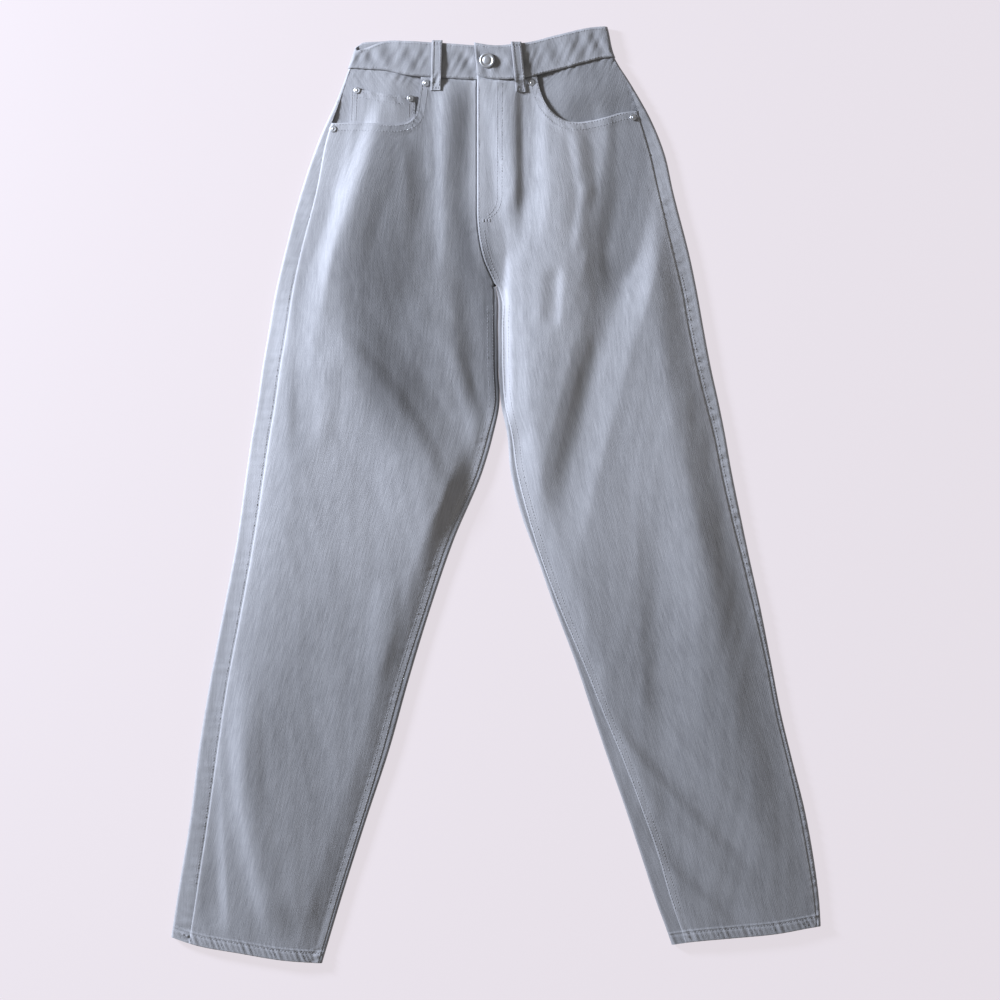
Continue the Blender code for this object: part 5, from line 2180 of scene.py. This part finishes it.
@dataclass
class Hardware(Piece):
    """Waist button and rivets.

    Attributes:
        button_radius: Radius of the button, in millimetres.
        rivet_radius: Radius of a rivet.
        seat: Space between metal and cloth.
    """

    button_radius: float = 8.5
    rivet_radius: float = 3.8
    seat: float = 0.35

    def stud(self, name: str, node: str, leg: Leg, spot: Spot, surface: Height, rings: tuple) -> None:
        """Turn one round piece from its rings and seat it square to the cloth.

        Args:
            name: Object name.
            node: The node that it replaces.
            leg: Half of the jeans.
            spot: Its centre.
            surface: Height of the cloth under it.
            rings: Radius and height of each ring, from the foot to the middle.
        """
        x, y = spot
        reach = 0.7 * rings[0][0]
        slope_x = (surface(leg, x + reach, y) - surface(leg, x - reach, y)) / (2 * reach)
        slope_y = (surface(leg, x, y + reach) - surface(leg, x, y - reach)) / (2 * reach)
        normal = Vector((-float(slope_x), -float(slope_y), 1.0)).normalized()
        base = float(surface(leg, np.float64(x), np.float64(y)))
        bm = bmesh.new()
        made = bmesh.ops.create_circle(bm, cap_ends=True, segments=40, radius=rings[0][0])
        cap = made["verts"][0].link_faces[0]
        bottom = bmesh.ops.extrude_face_region(bm, geom=[cap], use_keep_orig=True)
        cap = [item for item in bottom["geom"] if isinstance(item, bmesh.types.BMFace)][0]
        for (radius, height), (next_radius, next_height) in zip(rings[:-1], rings[1:]):
            if next_radius < radius:
                bmesh.ops.inset_region(bm, faces=[cap], thickness=radius - next_radius)
            bmesh.ops.translate(bm, vec=(0.0, 0.0, next_height - height), verts=cap.verts[:])
        for face in bm.faces:
            face.smooth = len(face.verts) == 4
        turn = normal.to_track_quat("Z", "Y").to_matrix().to_4x4()
        seat = Vector((x + PATTERN.settle_x, y + PATTERN.settle_y, base)) + normal * self.seat
        bmesh.ops.transform(bm, matrix=Matrix.Translation(seat) @ turn, verts=bm.verts[:])
        bmesh.ops.scale(bm, vec=(MM, MM, MM), verts=bm.verts[:])
        bmesh.ops.recalc_face_normals(bm, faces=bm.faces[:])
        obj = link_mesh(name, bm, self.finishes.metal)
        self.stand_for(obj, node, "nickel")

    def build(self, coin: CoinPocket) -> None:
        """Make the button and rivets.

        Args:
            coin: The coin pocket, which carries two rivets.
        """
        r = self.button_radius
        button = (
            (r, 0.0), (r, 0.9), (r - 0.5, 1.5), (r - 1.3, 1.75), (r - 2.2, 1.5), (r - 2.9, 0.95),
            (r - 3.6, 0.85), (r - 4.2, 1.25), (r - 5.0, 1.6), (r - 6.4, 1.75), (r - 7.6, 1.8),
        )
        self.stud("button", "waist_button", LEFT, BUTTON, self.lie.band, button)
        r = self.rivet_radius
        rivet = ((r, 0.0), (r, 0.3), (r - 0.4, 0.75), (r - 1.1, 0.95), (r - 1.7, 0.7), (r - 2.2, 0.65),
                 (r - 2.5, 1.1), (r - 3.1, 1.35), (r - 3.5, 1.4))
        for index, spot in enumerate(RIVETS):
            leg = LEFT if spot.x > 0 else RIGHT
            surface = coin.surface if index in COIN_RIVETS else self.lie.panel
            self.stud(f"stud_{index + 1}", f"rivet_{index + 1}", leg, spot, surface, rivet)


@dataclass
class Stitching(Piece):
    """Rows of stitches, each a short raised thread.

    Attributes:
        pitch: Length of one stitch with its space, in millimetres.
        length: Length of the thread that shows.
        thread: Thickness of the thread.
        proud: How far it stands off the cloth.
        loop_face: Height of a belt loop's face over the space under it.
    """

    pitch: float = 3.4
    length: float = 2.7
    thread: float = 0.62
    proud: float = 0.12
    loop_face: float = 1.7

    def run(self, bm: bmesh.types.BMesh, x: Array, y: Array, surface: Height) -> None:
        """Add one row of stitches along a path.

        Args:
            bm: Mesh to add to.
            x: X along the path.
            y: Y along the path.
            surface: Height of the cloth for X and Y.
        """
        length = np.concatenate(([0.0], np.cumsum(np.hypot(np.diff(x), np.diff(y)))))
        count = int(length[-1] / self.pitch)
        starts = np.arange(count) * self.pitch
        ends = starts + self.length
        ax, ay = np.interp(starts, length, x), np.interp(starts, length, y)
        bx, by = np.interp(ends, length, x), np.interp(ends, length, y)
        az, bz = surface(ax, ay), surface(bx, by)
        for start, end in zip(np.stack((ax, ay, az), axis=-1), np.stack((bx, by, bz), axis=-1)):
            first = Vector(start)
            along = Vector(end) - first
            turn = along.to_track_quat("X", "Z").to_matrix().to_4x4()
            middle = first + 0.5 * along + Vector((PATTERN.settle_x, PATTERN.settle_y, self.proud))
            size = Matrix.Diagonal((0.5 * along.length, 0.5 * self.thread, 0.5 * self.thread, 1.0))
            place = Matrix.Translation(middle) @ turn @ size
            bmesh.ops.create_icosphere(bm, subdivisions=1, radius=1.0, matrix=place)

    def finish(self, name: str, bm: bmesh.types.BMesh) -> None:
        """Write a set of rows out as one object.

        Args:
            name: Object name.
            bm: Its mesh.
        """
        for face in bm.faces:
            face.smooth = True
        bmesh.ops.scale(bm, vec=(MM, MM, MM), verts=bm.verts[:])
        obj = link_mesh(name, bm, self.finishes.thread)

    def leg_rows(self, leg: Leg) -> None:
        """Stitches of one front: inseam, pocket mouth, hem and waist seam.

        Args:
            leg: Half of the jeans.
        """
        lie = self.lie
        bm = bmesh.new()

        def panel(x: Array, y: Array) -> Array:
            return lie.panel(leg, x, y)

        y = np.linspace(214.0, -470.0, 500)
        for off in (1.8, 7.6):
            x = leg.inner(y) + leg.way * (leg.inseam(y) + off)
            keep = y > leg.hem(x) + 14.0
            self.run(bm, x[keep], y[keep], panel)
        for off in (2.0, 8.5):
            mouth_x, mouth_y = path_points(leg.mouth, np.linspace(0.0, 1.0, 160))
            slope_x, slope_y = np.gradient(mouth_x), np.gradient(mouth_y)
            size = np.hypot(slope_x, slope_y)
            x = mouth_x - leg.way * off * slope_y / size
            y = mouth_y + leg.way * off * slope_x / size
            keep = (y < leg.waist_seam(x) - 1.5) & (leg.from_outseam(x, y) > 1.5)
            self.run(bm, x[keep], y[keep], panel)
        foot = float(leg.hem(leg.outer(-490.0)))
        start = leg.outer(foot) - leg.way * (leg.outseam(foot) + 2.0)
        end = leg.inner(-500.0) + leg.way * (leg.inseam(-500.0) + 2.0)
        x = np.linspace(float(start), float(end), 120)
        self.run(bm, x, leg.hem(x) + 11.0, panel)
        y = np.linspace(leg.mouth[0].y + 24.0, -440.0, 420)
        x = leg.outer(y) - leg.way * (leg.outseam(y) - 2.2)
        self.run(bm, x[y < 250.0], y[y < 250.0], lambda x, y: lie.top(leg, x, y))
        self.finish("stitches_" + leg.side.word, bm)

    def fly_rows(self) -> None:
        """Stitches of the fly: its edge, the double curve and the seam below."""
        lie = self.lie
        bm = bmesh.new()
        edge = PATTERN.centre_front_x

        def panel(x: Array, y: Array) -> Array:
            return lie.panel(LEFT, x, y)

        for off in (FLY.stitch_in, FLY.stitch_in - 5.0):
            turn = np.linspace(0.0, 0.5 * math.pi, 30)
            straight_y = np.linspace(464.0, 338.0, 60)
            curve_x = edge + off - off * (1.0 - np.cos(turn)) * 0.62
            curve_y = 338.0 - (26.0 + 0.5 * (off - FLY.stitch_in)) * np.sin(turn)
            x = np.concatenate((0.0 * straight_y + edge + off, curve_x))
            y = np.concatenate((straight_y, curve_y))
            self.run(bm, x, y, panel)
        y = np.linspace(464.0, 240.0, 120)
        for off in (1.8, 7.0):
            keep = y < (465.0 if off < 2.0 else 300.0)
            self.run(bm, (LEFT.inner(y) + off)[keep], y[keep], panel)
        for bar in np.linspace(-1.4, 1.4, 6):
            x = np.linspace(-16.0, -4.0, 20)
            self.run(bm, x, 0.0 * x + 309.0 + bar, panel)
        self.finish("stitches_fly", bm)

    def band_rows(self) -> None:
        """Stitches round both edges of the waistband in front, on the loops and coin pocket."""
        lie = self.lie
        bm = bmesh.new()
        for leg, first, last in ((RIGHT, -27.0, -158.0), (LEFT, -23.0, 126.0)):
            x = np.linspace(first, last, 120)
            for column, off in (("top", -2.6), ("seam", 2.2)):
                y = table_value(leg.band, "x", column, x) + off
                inside = leg.way * (leg.outer(y) - x) > 4.0
                self.run(bm, x[inside], y[inside], lambda x, y, leg=leg: lie.band(leg, x, y))
        for leg in (RIGHT, LEFT):
            top, foot = FRONT_LOOPS[leg.side.word]
            down = np.linspace(0.02, 0.98, 40)
            for off in (-3.6, 3.6):
                x = top.x + (foot.x - top.x) * down + off
                y = top.y + (foot.y - top.y) * down
                self.run(bm, x, y, lambda x, y, leg=leg: self.on_loop(leg, x, y))
            for place in (foot.y + 2.0, foot.y + 3.2, top.y - 3.0, top.y - 4.2):
                centre = np.interp(place, [foot.y, top.y], [foot.x, top.x])
                x = np.linspace(centre - 5.5, centre + 5.5, 12)
                self.run(bm, x, 0.0 * x + place, lambda x, y, leg=leg: self.on_loop(leg, x, y))
        self.finish("stitches_band", bm)

    def on_loop(self, leg: Leg, x: Array, y: Array) -> Array:
        """Outer face of a front loop.

        Args:
            leg: Half of the jeans.
            x: X of the points.
            y: Y of the points.

        Returns:
            Height at each point.
        """
        top, foot = FRONT_LOOPS[leg.side.word]
        down = np.clip((top.y - np.asarray(y)) / (top.y - foot.y), 0.0, LOOP_BOWED)
        bowed = LOOP_ARCH * np.sin(math.pi * down / LOOP_BOWED)
        return self.lie.front(leg, x, y) + LOOP_SEAT + bowed + self.loop_face

    def coin_rows(self, coin: CoinPocket) -> None:
        """Stitches of the coin pocket.

        Args:
            coin: The coin pocket.
        """
        bm = bmesh.new()
        outer_top, outer_foot, inner_top, inner_foot = COIN_SIDES

        def face(x: Array, y: Array) -> Array:
            return coin.surface(RIGHT, x, y)

        down = np.linspace(0.03, 0.93, 40)
        for top, foot, ways in ((outer_top, outer_foot, (2.0, 7.0)), (inner_top, inner_foot, (-2.0, -7.0))):
            for off in ways:
                x = top.x + (foot.x - top.x) * down + off
                y = top.y + (foot.y - top.y) * down
                keep = self.lie.mouth_distance(RIGHT, x, y) > 0.8
                self.run(bm, x[keep], y[keep], face)
        for off in (-3.0, -9.0):
            across = np.linspace(0.03, 0.97, 40)
            sag = COIN_TOP_SAG * 4 * across * (1 - across)
            x = outer_top.x + (inner_top.x - outer_top.x) * across
            self.run(bm, x, outer_top.y + (inner_top.y - outer_top.y) * across - sag + off, face)
        self.finish("stitches_coin", bm)

    def back_rows(self, pockets: BackPockets) -> None:
        """Stitches on the underside: pockets, yoke seams, centre back and waistband.

        Args:
            pockets: The back pockets.
        """
        bm = bmesh.new()

        def under(x: Array, y: Array) -> Array:
            return self.lie.underside(x, y) - 2.0 * self.proud

        def patch(x: Array, y: Array) -> Array:
            return np.zeros(np.shape(x)) - 2.0 * self.proud

        down = np.linspace(0.0, 1.0, 60)
        for name in POCKET_CENTRES:
            for inset in (0.965, 0.875):
                for way in (-inset, inset):
                    self.run(bm, *pockets.outline(name, way + 0.0 * down, inset * down), patch)
                self.run(bm, *pockets.outline(name, inset * (2.0 * down - 1.0), inset + 0.0 * down), patch)
            for row in (0.03, 0.15):
                self.run(bm, *pockets.outline(name, 1.94 * down - 0.97, row + 0.0 * down), patch)
        for leg in (RIGHT, LEFT):
            x = np.linspace(float(leg.outer(leg.yoke_side_y)) - leg.way * 6.0, PATTERN.centre_back_x, 80)
            for off in (-2.0, -8.0):
                self.run(bm, x, leg.yoke_seam(x) + off, under)
        y = np.linspace(462.0, 244.0, 80)
        for off in (2.0, 8.0):
            self.run(bm, 0.0 * y + PATTERN.centre_back_x - off, y, under)
        x = np.linspace(-152.0, 122.0, 120)
        for column, off in (("top", -2.6), ("seam", 2.2)):
            self.run(bm, x, table_value(BAND_BACK, "x", column, x) + off, under)
        self.finish("stitches_back", bm)

    def build(self, coin: CoinPocket, pockets: BackPockets) -> None:
        """Make all stitches.

        Args:
            coin: The coin pocket.
            pockets: The back pockets.
        """
        self.leg_rows(RIGHT)
        self.leg_rows(LEFT)
        self.fly_rows()
        self.band_rows()
        self.coin_rows(coin)
        self.back_rows(pockets)


@dataclass(frozen=True)
class Studio:
    """Floor, light and camera.

    Attributes:
        frame_wide: Width that the picture shows on the floor, in metres.
        lens: Lens in millimetres, on a sensor 36 mm wide.
        look_x: X of the picture's centre, in metres.
        look_y: Y of the picture's centre.
        key_place: Centre of the low window light, in metres.
        key_size: Diameter of the light.
        key_power: Strength of the light, in watts.
        room_power: Strength of the light from all round.
        floor_drop: How far the floor lies below the stitches on the underside, in metres.
    """

    frame_wide: float = 1.13
    lens: float = 85.0
    look_x: float = 0.0046
    look_y: float = -0.0057
    key_place: tuple[float, float, float] = (-2.2, 1.1, 0.92)
    key_size: float = 0.5
    key_power: float = 170.0
    room_power: float = 0.24
    floor_drop: float = 0.0006

    def build(self) -> None:
        """Make the floor, lights and camera."""
        scene = bpy.context.scene
        self.floor()
        self.lights(scene)
        sensor = 36.0
        data = bpy.data.cameras.new("camera")
        data.lens = self.lens
        data.sensor_width = sensor
        data.clip_end = 20.0
        camera = bpy.data.objects.new("camera", data)
        camera.location = (self.look_x, self.look_y, self.frame_wide * self.lens / sensor)
        scene.collection.objects.link(camera)
        scene.camera = camera
        scene.view_settings.view_transform = "Standard"

    def floor(self) -> None:
        """Make the pale floor, which glows a little so that its tone stays even."""
        bm = bmesh.new()
        bmesh.ops.create_grid(bm, x_segments=1, y_segments=1, size=3.0)
        mesh = bpy.data.meshes.new("floor")
        bm.to_mesh(mesh)
        bm.free()
        material = bpy.data.materials.new("pale_floor")
        material.use_nodes = True
        shader = material.node_tree.nodes["Principled BSDF"]
        shader.inputs["Base Color"].default_value = (0.12, 0.112, 0.12, 1.0)
        shader.inputs["Roughness"].default_value = 0.9
        shader.inputs["Specular IOR Level"].default_value = 0.0
        shader.inputs["Emission Color"].default_value = (0.90, 0.84, 0.90, 1.0)
        shader.inputs["Emission Strength"].default_value = 0.80
        mesh.materials.append(material)
        floor = bpy.data.objects.new("floor", mesh)
        floor.location.z = -self.floor_drop
        bpy.context.scene.collection.objects.link(floor)

    def lights(self, scene: bpy.types.Scene) -> None:
        """Make a low cool key light and a weak warm room.

        Args:
            scene: The scene to light.
        """
        data = bpy.data.lights.new("key", "AREA")
        data.shape = "DISK"
        data.size = self.key_size
        data.energy = self.key_power
        data.color = (0.78, 0.85, 1.0)
        key = bpy.data.objects.new("key", data)
        key.location = self.key_place
        key.rotation_euler = Vector(self.key_place).to_track_quat("Z", "Y").to_euler()
        scene.collection.objects.link(key)
        world = bpy.data.worlds.new("room")
        world.use_nodes = True
        back = world.node_tree.nodes["Background"]
        back.inputs["Color"].default_value = (1.0, 0.965, 0.93, 1.0)
        back.inputs["Strength"].default_value = self.room_power
        scene.world = world


def dress_hidden_nodes(finishes: Finishes) -> None:
    """Give the two pieces under the fly, which stay as they are, the finish of the inner cloth.

    Args:
        finishes: The shared materials.
    """
    for name in HIDDEN_NODES:
        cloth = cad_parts[name].data
        cloth.materials.clear()
        cloth.materials.append(finishes.hidden)


def main() -> None:
    logging.basicConfig(level=logging.INFO, format="%(name)s %(message)s")
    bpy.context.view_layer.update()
    lie = Lie()
    finishes = Finishes()
    Studio().build()
    dress_hidden_nodes(finishes)
    for paired in (FrontPanel, BackPanel, Yoke, HipPocket):
        for leg in (RIGHT, LEFT):
            paired(lie, finishes, leg=leg).build()
    coin = CoinPocket(lie, finishes)
    coin.build()
    Waistband(lie, finishes).build()
    BeltLoops(lie, finishes).build()
    pockets = BackPockets(lie, finishes)
    pockets.build()
    Hardware(lie, finishes).build(coin)
    Stitching(lie, finishes).build(coin, pockets)


if __name__ == "__main__":
    main()
